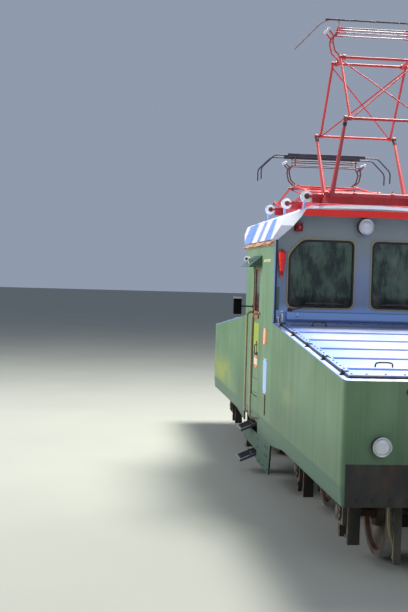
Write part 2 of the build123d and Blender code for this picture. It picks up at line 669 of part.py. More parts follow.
def side_lamp():
    """Small spot lamp on the awning, looking back and out."""
    centre = Vector(170, SIDE + AWNING_REACH - 38, AWNING_Z[0] + 96)
    direction = Vector(-0.86, 0.5, 0)
    body = ring(centre, direction, 27, 0, 105)
    slope = (AWNING_Z[1] - AWNING_Z[0]) / AWNING_REACH
    y0, y1 = 95, 120
    foot = prism_x([(SIDE + y0, AWNING_Z[1] - slope * y0 + SEAT), (SIDE + y1, AWNING_Z[1] - slope * y1 + SEAT),
                    (SIDE + y1, AWNING_Z[0] + 90), (SIDE + y0, AWNING_Z[0] + 90)], 150, 190)
    return body + foot


SEAT_X = (-560, -140)
SEAT_Y = (SIDE - 840, SIDE - 400)


def seat():
    pad = block(*SEAT_X, *SEAT_Y, DECK_TOP + 430, DECK_TOP + 520)
    back = block(SEAT_X[0] - 10, SEAT_X[0] + 60, *SEAT_Y, DECK_TOP + 500, DECK_TOP + 980)
    x, y, floor = sum(SEAT_X) / 2, sum(SEAT_Y) / 2, DECK_TOP + FLOOR_T
    post = rod((x, y, floor + 10), (x, y, DECK_TOP + 435), 45)
    foot = rod((x, y, floor), (x, y, floor + 20), 150)
    return fuse([pad, back, post, foot])


def desk():
    """Control desk behind the front windows."""
    x1 = WALL_X - PANEL
    points = [(x1, DECK_TOP + FLOOR_T), (x1, DECK_TOP + 1130), (x1 - 130, DECK_TOP + 1130), (x1 - 420, DECK_TOP + 960),
              (x1 - 420, DECK_TOP + 880), (x1 - 280, DECK_TOP + 840), (x1 - 280, DECK_TOP + FLOOR_T)]
    return prism_y(points, -SIDE + 400, SIDE - 200)


TANK_R = 118
TANK_Z = 640
TANK_Y = SIDE - PANEL - STEP_BACK - TANK_R - 50
BOX_GAP = 44                # between the equipment box and a tank
BOX_END = BOGIE_INNER - 355


def equipment_box():
    """Box hung under the deck between the bogies, with its lower edges cut off."""
    half = TANK_Y - TANK_R - BOX_GAP
    low, high = 420, DECK_Z - 100
    points = [(-BOX_END + 80, low), (BOX_END - 80, low), (BOX_END, low + 100), (BOX_END, high),
              (-BOX_END, high), (-BOX_END, low + 100)]
    return prism_y(points, -half, half)


def air_tank(y):
    """Tank lying along the frame, with dished ends."""
    dish = [(0, TANK_HALF), (TANK_R * 0.5, TANK_HALF - 12), (TANK_R * 0.85, TANK_HALF - 36), (TANK_R, TANK_HALF - 70)]
    profile = dish + [(r, -x) for r, x in reversed(dish)]
    outline = Plane.XZ * Polygon(*profile, align=None)
    tank = Pos(0, y, TANK_Z) * Rot(0, 90, 0) * revolve(outline, axis=Axis.Z)
    for x in (-CROSS_MEMBER_X, CROSS_MEMBER_X):
        tank += block(x - 30, x + 30, y - 20, y + 20, TANK_Z, CROSS_MEMBER_Z)
    return tank


def build_fittings():
    cover = awning()
    save("awnings", cover, flip(cover))
    rails = [grab_rail(*row) for row in GRABS]
    save("handrails", *rails, *[flip(r) for r in rails])
    glass = rear_mirror()
    save("mirrors", glass, flip(glass))
    case = flag_case()
    save("flag_cases", case, flip(case))
    lamp = tail_lamp()
    save("tail_lamps", lamp, mirrored(lamp), flip(lamp), flip(mirrored(lamp)))
    lamps = [headlamp(), hood_lamp(), mirrored(hood_lamp())]
    save("headlamps", *lamps, *[flip(s) for s in lamps])
    spot = side_lamp()
    save("side_lamps", spot, flip(spot))
    chair = seat()
    save("driver_seats", chair, flip(chair))
    board = desk()
    save("control_desks", board, flip(board))
    save("equipment_box", equipment_box())
    tanks = [air_tank(y) for y in (-TANK_Y, TANK_Y)]
    save("air_tanks", *tanks)


# Pantographs

def roof_height(y):
    """Height of the roof's outside at a distance from the middle."""
    (y0, z0), (y1, z1), (y2, z2) = ROOF_OUT
    y = abs(y)
    if y > y1:
        return z1 + (z0 - z1) * (y - y1) / (y0 - y1)
    if y > y2:
        return z2 + (z1 - z2) * (y - y2) / (y1 - y2)
    rise = CROWN - z2
    radius = (y2 * y2 + rise * rise) / (2 * rise)
    return CROWN - radius + (radius * radius - y * y) ** 0.5


BEAM = (PAN_BASE_Z - 100, PAN_BASE_Z + 5)       # cross beams of the base frame
RAIL_BAR = (PAN_BASE_Z - 90, PAN_BASE_Z - 40)   # its long bars
INSULATOR_Z = PAN_BASE_Z - 25


def insulator(x, y):
    """Ring-shaped insulator lying fore and aft, on a flat stand."""
    side = 1 if y > 0 else -1
    body = ring((x, y, INSULATOR_Z), (1, 0, 0), INSULATOR_R, 0, 44)
    body += ring((x, y, INSULATOR_Z), (1, 0, 0), INSULATOR_R - 20, 0, 110)
    post_y = y + side * 22
    foot = roof_height(y + side * 60) - 4
    stand = block(x - 22, x + 22, post_y - 12, post_y + 12, roof_height(abs(post_y) - 12) + 0.5, INSULATOR_Z - 50)
    return body + stand


def pan_base():
    """Base frame of both pantographs: long bars, cross beams and hinge brackets."""
    parts = []
    for y in (-BASE_RAIL_Y, BASE_RAIL_Y):
        parts.append(block(-BASE_END, BASE_END, y - 18, y + 18, *RAIL_BAR))
        for x in (-PAN_X, PAN_X):
            for pivot in (-PAN_PIVOT, PAN_PIVOT):
                parts.append(block(x + pivot - 38, x + pivot + 38, y - 18, y + 18, RAIL_BAR[1] - 5, PAN_BASE_Z))
                parts.append(ring((x + pivot, y, PAN_BASE_Z), (0, 1, 0), 38, 0, 36))
    for x in CROSS_X:
        parts.append(block(x - 24, x + 24, -INSULATOR_Y + INSULATOR_R + 4, INSULATOR_Y - INSULATOR_R - 4, *BEAM))
        for y in (-1, 1):
            parts.append(block(x - 70, x - 55, y * (INSULATOR_Y - INSULATOR_R - 10), y * (INSULATOR_Y + 15),
                               INSULATOR_Z - 15, INSULATOR_Z + 15))
            parts.append(block(x - 70, x - 20, y * (INSULATOR_Y - INSULATOR_R - 40), y * (INSULATOR_Y - INSULATOR_R - 5),
                               INSULATOR_Z - 15, INSULATOR_Z + 15))
    frame = fuse(parts)
    for x in (-PAN_X, PAN_X):
        for pivot in (-PAN_PIVOT, PAN_PIVOT):
            frame -= ring((x + pivot, 0, PAN_BASE_Z), (0, 1, 0), PAN_SHAFT + RUNNING_FIT, 0,
                          2 * (BASE_RAIL_Y + 80))
    return frame


def pivots(angle):
    """Base, knee and top pivots of the forward half, as (X, Z) from the pantograph's middle."""
    run, rise = PAN_ARM * cos(radians(angle)), PAN_ARM * sin(radians(angle))
    base = (PAN_PIVOT, PAN_BASE_Z)
    knee = (PAN_PIVOT + run, PAN_BASE_Z + rise)
    top = (PAN_PIVOT, PAN_BASE_Z + 2 * rise)
    return base, knee, top


def lower_arm(angle):
    """Forward lower arm: base shaft and two tapered tubes with a bored eye at each knee."""
    base, knee, top = pivots(angle)
    parts = [ring((base[0], 0, base[1]), (0, 1, 0), PAN_SHAFT, 0, 2 * (BASE_RAIL_Y + 24))]
    along = Vector(knee[0] - base[0], 0, knee[1] - base[1]).normalized()
    for y in (-PAN_Y, PAN_Y):
        a, b = Vector(base[0], y, base[1]), Vector(knee[0], y, knee[1])
        tube = loft([Plane(origin=a, z_dir=along) * Circle(30), Plane(origin=b - along * 20, z_dir=along) * Circle(17)])
        parts += [tube, ring(a, (0, 1, 0), 36, 0, 60), ring(b, (0, 1, 0), 28, 0, 34)]
    arm = fuse(parts)
    return arm - ring((knee[0], 0, knee[1]), (0, 1, 0), PAN_PIN + RUNNING_FIT, 0, 2 * (PAN_Y + 100))


def upper_arm(angle):
    """Forward upper arm: knee and top shafts, two legs and crossed braces."""
    base, knee, top = pivots(angle)
    parts = [ring((knee[0], 0, knee[1]), (0, 1, 0), PAN_PIN, 0, 2 * (PAN_Y + 26)),
             ring((top[0], 0, top[1]), (0, 1, 0), PAN_PIN, 0, 2 * (PAN_UPPER_Y + 22))]
    for y in (-PAN_UPPER_Y, PAN_UPPER_Y):
        parts.append(rod((knee[0], y, knee[1]), (top[0], y, top[1]), 15))
        parts.append(ring((knee[0], y, knee[1]), (0, 1, 0), 24, 0, 34))
        parts.append(ring((top[0], y, top[1]), (0, 1, 0), 24, 0, 30))
        inward = y * 0.98
        parts.append(rod((knee[0], inward, knee[1]), (top[0] + (knee[0] - top[0]) * 0.06, -inward,
                          top[1] + (knee[1] - top[1]) * 0.06), 8))
    return fuse(parts)


POST = [(0, 14), (92, 100), (118, 205), (108, 268), (172, 345)]         # a post's bends, out from the yoke
POST_X = 82
POST_R = 10
INNER_BAR = [(108, 250), (75, 308)]     # bends of the bars between the posts, out from the yoke
CARRIER_Y = YOKE_Y + 35     # the bars that carry the contact strips
RIDER_Z = 372               # cross rod half-way up them
RIDER_HALF = CARRIER_Y + 20
STRIP_R = 10
CARBON = (22, 560, 15)      # half width, half length and half height of a flat contact strip
# Strips: X from the head's middle, bend radius of the horns, (Y, Z) of their corners above the top pivots
DOUBLE_HORNS = [
    (-150, 110, [(745, 440), (938, 250), (936, 90)]),
    (150, 110, [(745, 440), (938, 250), (936, 90)]),
]
SINGLE_HORN = [
    (0, 260, [(615, 473), (961, 103)]),
]


def mitred_bar(points, radius):
    """A round bar through the points with plain mitred corners."""
    path = Polyline(*points)
    return sweep(Plane(origin=path @ 0, z_dir=path % 0) * Circle(radius), path=path, transition=Transition.RIGHT)


def head(angle, strips):
    """Collector head: yoke on the top pivots, bent posts, and contact strips on slanting carriers."""
    base, knee, top = pivots(angle)
    z = top[1]
    parts = []
    for side in (-1, 1):
        y = side * YOKE_Y
        parts.append(block(-PAN_PIVOT, PAN_PIVOT, y - 9, y + 9, z - 17, z + 17))
        for x in (-PAN_PIVOT, PAN_PIVOT):
            parts.append(ring((x, y, z), (0, 1, 0), 31, 0, 32))
        for x in (-POST_X, POST_X):
            post = [(x, side * (YOKE_Y + dy), z + dz) for dy, dz in POST]
            parts.append(mitred_bar(post, POST_R))
            parts.append(ring(post[-1], (0, 0, 1), 16, 0, 26))
        tie_y, tie_z = POST[2]
        parts.append(rod((-POST_X, side * (YOKE_Y + tie_y), z + tie_z), (POST_X, side * (YOKE_Y + tie_y), z + tie_z), 8))
    bar_z = INNER_BAR[-1][1]
    for x in (-POST_X, POST_X):
        left = [(x, YOKE_Y + dy, z + dz) for dy, dz in INNER_BAR]
        right = [(x, -YOKE_Y - dy, z + dz) for dy, dz in reversed(INNER_BAR)]
        parts.append(mitred_bar(left + right, 9))
    for strip_x, bend, corners in strips:
        left = [(strip_x, y, z + dz) for y, dz in corners]
        right = [(strip_x, -y, z + dz) for y, dz in reversed(corners)]
        parts.append(tube_path(right + left, bend, STRIP_R))
        level = corners[0][1]
        if len(strips) > 1:
            half_w, half_l, half_h = CARBON
            parts.append(block(strip_x - half_w, strip_x + half_w, -half_l, half_l, z + level - half_h, z + level + half_h))
        rise = (RIDER_Z - bar_z) / (level - bar_z)
        for post_x in (-POST_X, POST_X):
            if post_x * strip_x < 0:
                continue
            rider_x = post_x + (strip_x - post_x) * rise
            parts.append(rod((rider_x, -RIDER_HALF, z + RIDER_Z), (rider_x, RIDER_HALF, z + RIDER_Z), 10))
            for y in (-CARRIER_Y, CARRIER_Y):
                parts.append(rod((post_x, y, z + bar_z), (strip_x, y, z + level), 8))
    frame = fuse(parts)
    frame -= ring((PAN_PIVOT, 0, z), (0, 1, 0), PAN_PIN + RUNNING_FIT, 0, 2 * (YOKE_Y + 95))
    return frame - ring((-PAN_PIVOT, 0, z), (0, 1, 0), PAN_PIN + OPEN_PIVOT, 0, 2 * (YOKE_Y + 95))


def build_pantographs():
    ceramic = [insulator(x, y) for x in CROSS_X for y in (-INSULATOR_Y, INSULATOR_Y)]
    save("roof_insulators", *ceramic)
    save("pantograph_base", pan_base())
    for name, place, angle, strips in (
            ("front", Pos(PAN_X, 0, 0), PAN_LOWERED, DOUBLE_HORNS),
            ("rear", Pos(-PAN_X, 0, 0) * Rot(0, 0, 180), PAN_RAISED, SINGLE_HORN)):
        low, high = lower_arm(angle), upper_arm(angle)
        save(f"pan_{name}_lower_outer", place * low)
        save(f"pan_{name}_upper_outer", place * high)
        save(f"pan_{name}_lower_inner", place * flip(low))
        save(f"pan_{name}_upper_inner", place * flip(high))
        save(f"pan_{name}_head", place * head(angle, strips))


def main():
    os.makedirs("parts", exist_ok=True)
    build_bogies()
    build_underframe()
    build_hoods()
    build_cab()
    build_fittings()
    build_pantographs()


main()
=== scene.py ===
"""Looks of a centre-cab narrow-gauge electric locomotive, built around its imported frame."""

import math

import bmesh
import bpy
from bpy.props import FloatProperty, FloatVectorProperty, IntProperty, PointerProperty
from mathutils import Matrix, Vector


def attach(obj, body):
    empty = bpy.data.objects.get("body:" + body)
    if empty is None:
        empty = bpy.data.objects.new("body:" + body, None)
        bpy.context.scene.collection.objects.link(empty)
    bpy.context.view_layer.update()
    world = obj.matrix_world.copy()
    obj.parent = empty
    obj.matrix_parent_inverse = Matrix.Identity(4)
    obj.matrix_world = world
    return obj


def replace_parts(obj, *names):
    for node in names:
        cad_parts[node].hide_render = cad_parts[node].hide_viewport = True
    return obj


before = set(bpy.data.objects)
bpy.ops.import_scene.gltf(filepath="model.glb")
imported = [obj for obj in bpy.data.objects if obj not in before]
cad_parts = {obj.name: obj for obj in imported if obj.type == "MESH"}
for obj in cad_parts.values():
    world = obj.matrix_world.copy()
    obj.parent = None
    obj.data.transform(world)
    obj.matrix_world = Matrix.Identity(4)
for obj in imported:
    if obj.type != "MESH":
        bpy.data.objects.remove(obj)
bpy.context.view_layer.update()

bl_info = {
    "name": "Narrow-gauge electric locomotive",
    "version": (1, 0, 0),
    "blender": (4, 5, 0),
    "location": "View3D > Sidebar > Locomotive",
    "description": "Dresses the locomotive's frame in its paint, fittings and lamps",
    "category": "Object",
}

RAIL = 0.028                # top of the rail above the flange tips
SIDE = 1.1                  # half the body's width
END = 4.66                  # half the body's length
CAB = 1.093                 # half the cab's length
WALL = 1.060                # outer face of a cab end wall
PANEL = 0.04
CREASE = RAIL + 0.83        # below it the sides lean in
BODY_BOTTOM = RAIL + 0.65
HOOD_CAB = RAIL + 2.056     # hood's top beside the cab
HOOD_END = RAIL + 1.740
SLOPE = math.atan2(HOOD_CAB - HOOD_END, END - CAB)
SLOPE_LENGTH = math.hypot(HOOD_CAB - HOOD_END, END - CAB)
COVER_HALF = SIDE - 0.075
COVER_X = (0.11, SLOPE_LENGTH - 0.12)       # along the slope
COVER_T = 0.028
DOOR_X = (-0.083, 0.413)
DOOR_FACE = SIDE - 0.012
WINDOW_X = (-0.023, 0.353)
WINDOW_Z = (RAIL + 2.09, RAIL + 2.72)
LEDGE_Z = (RAIL + 2.104, RAIL + 2.196)
LEDGE_END = WALL + 0.06
ROOF_PROFILE = ((SIDE + 0.04, RAIL + 3.06), (SIDE - 0.038, RAIL + 3.318), (SIDE - 0.38, RAIL + 3.456))
CROWN = RAIL + 3.492
CROWN_RISE = CROWN - ROOF_PROFILE[2][1]
CROWN_RADIUS = (ROOF_PROFILE[2][0] ** 2 + CROWN_RISE ** 2) / (2 * CROWN_RISE)
PAN_X = 1.25
PAN_BASE = RAIL + 3.6
PAN_ARM = 0.975
PAN_PIVOT = 0.19
PAN_TILT = {"front": 9.0, "rear": 55.0}     # lower arms above level, degrees
PAN_Y = 0.5
YOKE_Y = 0.405
POST_X = 0.082
INSULATOR_Y = SIDE - 0.335
INSULATOR_Z = PAN_BASE - 0.025
CROSS_X = (-PAN_X, 0.0, PAN_X)
BOGIE_X = 2.8
AXLES = {"inner": 1.8, "outer": 3.8}        # from the middle of the locomotive
AXLE_Z = 0.453
TREAD_R = 0.425
AXLEBOX_FACE = 0.885
COUPLER_Z = RAIL + 0.62
LAMP_Z = RAIL + 3.245
HOOD_LAMP = (SIDE - 0.34, RAIL + 1.18)
TAIL_LAMP = (WALL + 0.083, SIDE - 0.29, RAIL + 3.2135)
HANDRAIL_X = (-0.165, 0.450)
HANDRAIL_Z = (RAIL + 0.77, RAIL + 2.13)
TREAD_TIPS = (RAIL + 0.562, RAIL + 0.155)   # heights of the step treads' outer edges
TREAD_RISE = 0.42                           # the treads climb inwards by this slope
TREAD_REACH = SIDE + 0.150
LAPS_X = (-0.62, 0.0, 0.62)
SPRING_Y = 0.23                             # raising springs from the pantograph's middle
BRAKE_ROD = (0.640, 0.585)
TANK = (SIDE - PANEL - 0.338, 0.640, 0.118)     # Y, Z and radius of an air tank

TURNED = Matrix.Rotation(math.pi, 4, "Z")      # the same piece at the other end and side
ACROSS = Matrix.Scale(-1, 4, (0, 1, 0))
SIDEWAYS = Matrix(((1, 0, 0, 0), (0, 0, 1, 0), (0, 1, 0, 0), (0, 0, 0, 1)))     # a prism's Z becomes Y
ENDWAYS = Matrix(((0, 0, 1, 0), (1, 0, 0, 0), (0, 1, 0, 0), (0, 0, 0, 1)))      # a prism's Z becomes X


# Shader sheets

class Value:
    """A shader socket that takes part in arithmetic."""

    def __init__(self, sheet, socket):
        self.sheet = sheet
        self.socket = socket

    def math(self, operation, first, second):
        return self.sheet.node("ShaderNodeMath", {"operation": operation}, {0: first, 1: second})

    def __add__(self, other):
        return self.math("ADD", self, other)

    def __sub__(self, other):
        return self.math("SUBTRACT", self, other)

    def __rsub__(self, other):
        return self.math("SUBTRACT", other, self)

    def __mul__(self, other):
        return self.math("MULTIPLY", self, other)

    def __pow__(self, other):
        return self.math("POWER", self, other)

    def most(self, other):
        return self.math("MAXIMUM", self, other)

    def least(self, other):
        return self.math("MINIMUM", self, other)

    def away(self, centre):
        """Distance of this value from a centre."""
        shift = self - centre
        return shift.math("ABSOLUTE", shift, 0.0)

    def rise(self, low, high):
        """0 below low, 1 above high, smooth between them. High may be the smaller one."""
        inputs = {"Value": self, "From Min": low, "From Max": high}
        return self.sheet.node("ShaderNodeMapRange", {"interpolation_type": "SMOOTHSTEP"}, inputs)


class Sheet:
    """One material being built: its nodes and the shader at their end."""

    def __init__(self, name, **constants):
        self.material = bpy.data.materials.new(name)
        self.material.use_nodes = True
        self.nodes = self.material.node_tree.nodes
        self.links = self.material.node_tree.links
        self.nodes.clear()
        self.shader = self.nodes.new("ShaderNodeBsdfPrincipled")
        output = self.nodes.new("ShaderNodeOutputMaterial")
        self.links.new(self.shader.outputs[0], output.inputs[0])
        for name, value in constants.items():
            self.shader.inputs[name.replace("_", " ")].default_value = value
        self.place = self.node("ShaderNodeTexCoord", output=3)
        axes = self.nodes.new("ShaderNodeSeparateXYZ")
        self.links.new(self.place.socket, axes.inputs[0])
        self.x, self.y, self.z = (Value(self, axes.outputs[i]) for i in range(3))

    def node(self, kind, settings=None, inputs=None, output=0):
        made = self.nodes.new(kind)
        for key, value in (settings or {}).items():
            setattr(made, key, value)
        for key, value in (inputs or {}).items():
            self.feed(made.inputs[key], value)
        return Value(self, made.outputs[output])

    def feed(self, socket, value):
        if isinstance(value, Value):
            self.links.new(value.socket, socket)
        else:
            socket.default_value = (*value, 1.0) if socket.type == "RGBA" else value

    def set(self, **inputs):
        for name, value in inputs.items():
            self.feed(self.shader.inputs[name.replace("_", " ")], value)
        return self

    def finish(self, paint, rough, height, strength, depth, **more):
        """Links the colour, the roughness and the bumps, and gives back the material."""
        normal = self.bump(height, strength, depth)
        return self.set(Base_Color=paint, Roughness=rough, Normal=normal, **more).material

    def noise(self, scale, stretch=(1, 1, 1), detail=4.0, roughness=0.55, shift=0.0):
        where = self.node("ShaderNodeMapping", None, {0: self.place, 1: (shift, shift, shift), 3: stretch})
        inputs = {"Vector": where, "Scale": scale, "Detail": detail, "Roughness": roughness}
        return self.node("ShaderNodeTexNoise", None, inputs)

    def cells(self, scale):
        return self.node("ShaderNodeTexVoronoi", None, {"Vector": self.place, "Scale": scale})

    def mix(self, share, first, second):
        return self.node("ShaderNodeMix", {"data_type": "RGBA"}, {0: share, 6: first, 7: second}, output=2)

    def bump(self, height, strength, distance, below=None):
        inputs = {"Height": height, "Strength": strength, "Distance": distance}
        if below is not None:
            inputs["Normal"] = below
        return self.node("ShaderNodeBump", None, inputs)

    def edges(self, radius):
        """1 near a sharp edge, 0 on open faces."""
        rounded = self.node("ShaderNodeBevel", {"samples": 4}, {"Radius": radius})
        normal = self.node("ShaderNodeNewGeometry", output=1)
        likeness = self.node("ShaderNodeVectorMath", {"operation": "DOT_PRODUCT"}, {0: rounded, 1: normal},
                             output=1)
        return (1.0 - likeness).rise(0.02, 0.22)


def tone(colour, factor):
    """The colour made darker or lighter by a factor."""
    return tuple(min(1.0, c * factor) for c in colour)


def blend_of(first, second, share):
    return tuple(a * (1 - share) + b * share for a, b in zip(first, second))


RUST = (0.13, 0.048, 0.018)
DUST = (0.30, 0.26, 0.18)
CHALK = (0.75, 0.74, 0.66)


def old_paint(name, colour, faded=0.12, streaks=0.18, rust=0.3, rough=0.48, wear=0.5, coat=0.0, over=None):
    """Brushed-on machine paint: faded patches, rain streaks, rusty chips.

    over(sheet, paint) may lay more colour on the sheet before the chips."""
    sheet = Sheet(name, Coat_Roughness=0.3, Coat_Weight=coat, Specular_IOR_Level=0.32)
    patches = sheet.noise(1.3, detail=5.0)
    rain = sheet.noise(1.0, (9.0, 9.0, 0.30), detail=3.0, shift=3.0)
    fine = sheet.noise(1.0, (48.0, 48.0, 1.3), detail=2.0, shift=7.0)
    pale = blend_of(colour, CHALK, faded)
    paint = sheet.mix(patches.rise(0.35, 0.68), colour, pale)
    paint = sheet.mix(rain.rise(0.46, 0.66) * streaks * 1.5, paint, tone(colour, 0.70))
    paint = sheet.mix(fine.rise(0.50, 0.72) * streaks * 1.2, paint, tone(colour, 1.30))
    if over:
        paint = over(sheet, paint)
    chips = sheet.noise(26.0, detail=6.0, roughness=0.7)
    spread = sheet.noise(2.2, detail=2.0, shift=11.0)
    edge = sheet.edges(0.006) * wear
    worn = (chips + spread * 0.55 + edge * 0.32).rise(1.02, 1.08)
    iron = sheet.mix(chips.rise(0.55, 0.75), RUST, tone(RUST, 2.1))
    paint = sheet.mix(worn * rust, paint, iron)
    ripple = sheet.noise(0.9, (1.0, 1.0, 0.7), detail=1.0, shift=2.0)
    skin = sheet.bump(ripple, 0.35, 0.012)
    skin = sheet.bump(chips * 0.4 - worn * 0.9, 0.18, 0.002, skin)
    return sheet.set(
        Base_Color=paint,
        Roughness=(patches * 0.16 + worn * 0.25 + (rough - 0.08)).least(0.95),
        Normal=skin,
    ).material


def facing(sheet, axis):
    """1 on faces that look along the axis (0 to 2), either way."""
    normal = sheet.node("ShaderNodeNewGeometry", output=1)
    parts = sheet.nodes.new("ShaderNodeSeparateXYZ")
    sheet.links.new(normal.socket, parts.inputs[0])
    return Value(sheet, parts.outputs[axis]).away(0.0).rise(0.55, 0.8)


def sage_layers(colour):
    """Body sides: painted shade low down, on the hoods, under the crease and on the skirts, painted sunlight
    on the front hood, painted sky light on level faces.
    """

    def over(sheet, paint):
        blotches = sheet.noise(1.6, (1.0, 1.0, 2.2), detail=3.0, shift=21.0)
        far = sheet.x.away(0.0)
        # Painted shade: darker low down, except towards the front end, and darker on the hoods than on the
        # cab.
        painted_shade = sheet.z.rise(1.60, 0.95) * sheet.x.rise(2.6, 1.4) * 0.30
        painted_shade = painted_shade + far.rise(CAB - 0.01, CAB + 0.01) * 0.17
        paint = sheet.mix(painted_shade, paint, (0.0, 0.012, 0.010))
        # Painted sunlight: yellow patches low on the front hood's sides.
        band = sheet.z.rise(0.80, 1.02) * sheet.z.rise(1.45, 1.15) * sheet.x.rise(1.9, 3.4)
        paint = sheet.mix(band * blotches.rise(0.25, 0.55) * 0.8, paint, (0.30, 0.33, 0.07))
        patch = sheet.z.rise(1.15, 1.35) * sheet.z.rise(1.80, 1.50)
        patch = patch * sheet.x.rise(-1.2, -1.5) * sheet.x.rise(-2.7, -2.1)
        paint = sheet.mix(patch * blotches.rise(0.42, 0.6) * 0.35, paint, (0.27, 0.32, 0.10))
        # Painted shade: darker below the crease, where the sides lean in, and dark green on the skirts under
        # the body.
        crease_shade = blend_of(tone(colour, 0.5), (0.04, 0.11, 0.11), 0.4)
        paint = sheet.mix(sheet.z.rise(CREASE + 0.03, CREASE - 0.02) * 0.75, paint, crease_shade)
        paint = sheet.mix(sheet.z.rise(BODY_BOTTOM + 0.07, BODY_BOTTOM - 0.12), paint, (0.018, 0.055, 0.036))
        # Painted sky light: blue and white patches on level faces high on the body.
        sky_patches = sheet.noise(7.0, (0.4, 2.0, 1.0), detail=4.0, shift=17.0)
        sky_light = sheet.mix(sky_patches.rise(0.4, 0.7), (0.36, 0.46, 0.80), (0.80, 0.83, 0.93))
        # Cab sides' end faces: pale blue at the outer edge, with a painted shadow line inside it.
        corner = facing(sheet, 0) * far.rise(CAB - 0.02, CAB - 0.01) * far.rise(CAB + 0.02, CAB + 0.01)
        outer = sheet.y.away(0.0).rise(SIDE - 0.020, SIDE - 0.012)
        edge = sheet.mix(outer, (0.020, 0.030, 0.060), (0.42, 0.56, 0.86))
        paint = sheet.mix(corner * sheet.z.rise(HOOD_CAB - 0.02, HOOD_CAB), paint, edge)
        return sheet.mix(facing(sheet, 2) * sheet.z.rise(1.5, 1.6), paint, sky_light)

    return over


def wall_layers(sheet, paint):
    """End walls: greyer under the roof, bluer on the ledge and below it."""
    paint = sheet.mix(sheet.z.rise(2.55, 3.15) * 0.75, paint, (0.24, 0.265, 0.215))
    return sheet.mix(sheet.z.rise(LEDGE_Z[1] + 0.12, LEDGE_Z[1] - 0.03), paint, (0.30, 0.48, 0.86))


def bare_iron(name, colour, dusty=0.5, rusty=0.5, rough=0.62, metallic=0.35, edge_highlight=0.5):
    """Dark oily iron with rust bloom, dust lying on it and a painted highlight along its edges."""
    sheet = Sheet(name)
    patches = sheet.noise(4.0, detail=6.0, roughness=0.65)
    grain = sheet.noise(70.0, detail=4.0)
    bloom = (patches + grain * 0.3).rise(0.62, 0.85) * rusty
    paint = sheet.mix(bloom, colour, RUST)
    settled = sheet.noise(2.6, (1.0, 1.0, 0.5), detail=5.0, shift=9.0).rise(0.42, 0.72) * dusty
    paint = sheet.mix(settled, paint, tone(DUST, 0.5))
    # Painted highlight: lighter along the edges.
    paint = sheet.mix(sheet.edges(0.005) * edge_highlight, paint, tone(colour, 3.2))
    bare = 1.0 - bloom.most(settled)
    dull = (grain * 0.18 + settled * 0.2 + (rough - 0.09)).least(0.95)
    return sheet.finish(paint, dull, grain + patches * 0.6, 0.3, 0.004, Metallic=bare * metallic)


# Mesh helpers

def new_object(name, mesh):
    made = bpy.data.objects.new(name, mesh)
    bpy.context.scene.collection.objects.link(made)
    return made


def from_bmesh(name, bm, smooth=False):
    bmesh.ops.remove_doubles(bm, verts=bm.verts, dist=1e-6)
    bmesh.ops.recalc_face_normals(bm, faces=bm.faces)
    mesh = bpy.data.meshes.new(name)
    bm.to_mesh(mesh)
    bm.free()
    if smooth:
        mesh.shade_smooth()
        mesh.set_sharp_from_angle(angle=math.radians(35.0))
    return new_object(name, mesh)


def copied(bm, matrix):
    """Adds everything made so far once more, moved by the matrix."""
    made = bmesh.ops.duplicate(bm, geom=bm.verts[:] + bm.edges[:] + bm.faces[:])["geom"]
    verts = [item for item in made if isinstance(item, bmesh.types.BMVert)]
    bmesh.ops.transform(bm, matrix=matrix, verts=verts)


def finished(piece, material, body, bevel=0.0):
    """Gives a piece its material and bevelled edges, and lets it ride on its body."""
    if material is not None:
        piece.data.materials.clear()
        piece.data.materials.append(material)
    if bevel:
        rounding = piece.modifiers.new("edges", "BEVEL")
        rounding.width = bevel
        rounding.segments = 2
        rounding.limit_method = "ANGLE"
        rounding.angle_limit = math.radians(40.0)
    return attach(piece, body)


def piece_of(name, build, finish, body="body", across=False, ends=False, smooth=True, bevel=0.0,
             turned=False):
    """A piece from build(bm): mirrored across, put at both ends or turned, painted, set on its body."""
    bm = bmesh.new()
    build(bm)
    if across:
        copied(bm, ACROSS)
    if ends:
        copied(bm, TURNED)
    if turned:
        bm.transform(TURNED)
    return finished(from_bmesh(name, bm, smooth), PAINTS[finish], body, bevel)


def pair_of(name, build, finish, bodies, **options):
    """The same piece on the front or left body and, turned round, on the rear or right one."""
    for body, turned in zip(bodies, (False, True)):
        piece_of(f"{name}_{body}", build, finish, body, turned=turned, **options)


def add_box(bm, low, high, matrix=Matrix()):
    corners = [(x, y, z) for x in (low[0], high[0]) for y in (low[1], high[1]) for z in (low[2], high[2])]
    verts = [bm.verts.new(matrix @ Vector(c)) for c in corners]
    for face in ((0, 1, 3, 2), (4, 6, 7, 5), (0, 4, 5, 1), (2, 3, 7, 6), (0, 2, 6, 4), (1, 5, 7, 3)):
        bm.faces.new([verts[i] for i in face])


def axis_matrix(origin, direction):
    """Frame at origin whose Z runs along direction."""
    turn = Vector(direction).normalized().to_track_quat("Z", "Y").to_matrix().to_4x4()
    return Matrix.Translation(origin) @ turn


def mm(*run):
    """Pairs in metres from a run of millimetres: a profile for add_turned, an outline for add_prism."""
    return [(first / 1000, second / 1000) for first, second in zip(run[::2], run[1::2])]


def add_turned(bm, origin, direction, profile, sides=24):
    """Turned shape: (radius, height) pairs along an axis, closed at both ends."""
    place = axis_matrix(origin, direction)
    rings = []
    for radius, height in profile:
        if radius <= 1e-6:
            rings.append([bm.verts.new(place @ Vector((0, 0, height)))])
            continue
        angles = (2 * math.pi * i / sides for i in range(sides))
        circle = (Vector((radius * math.cos(a), radius * math.sin(a), height)) for a in angles)
        rings.append([bm.verts.new(place @ point) for point in circle])
    for lower, upper in zip(rings, rings[1:]):
        for i in range(sides):
            j = (i + 1) % sides
            corners = [ring[k % len(ring)] for ring, k in ((lower, i), (lower, j), (upper, j), (upper, i))]
            unique = list(dict.fromkeys(corners))
            if len(unique) > 2:
                bm.faces.new(unique)
    for ring in (rings[0], rings[-1]):
        if len(ring) > 2:
            bm.faces.new(ring)


def add_rod(bm, start, end, radius, sides=12):
    a, b = Vector(start), Vector(end)
    add_turned(bm, a, b - a, [(radius, 0.0), (radius, (b - a).length)], sides)


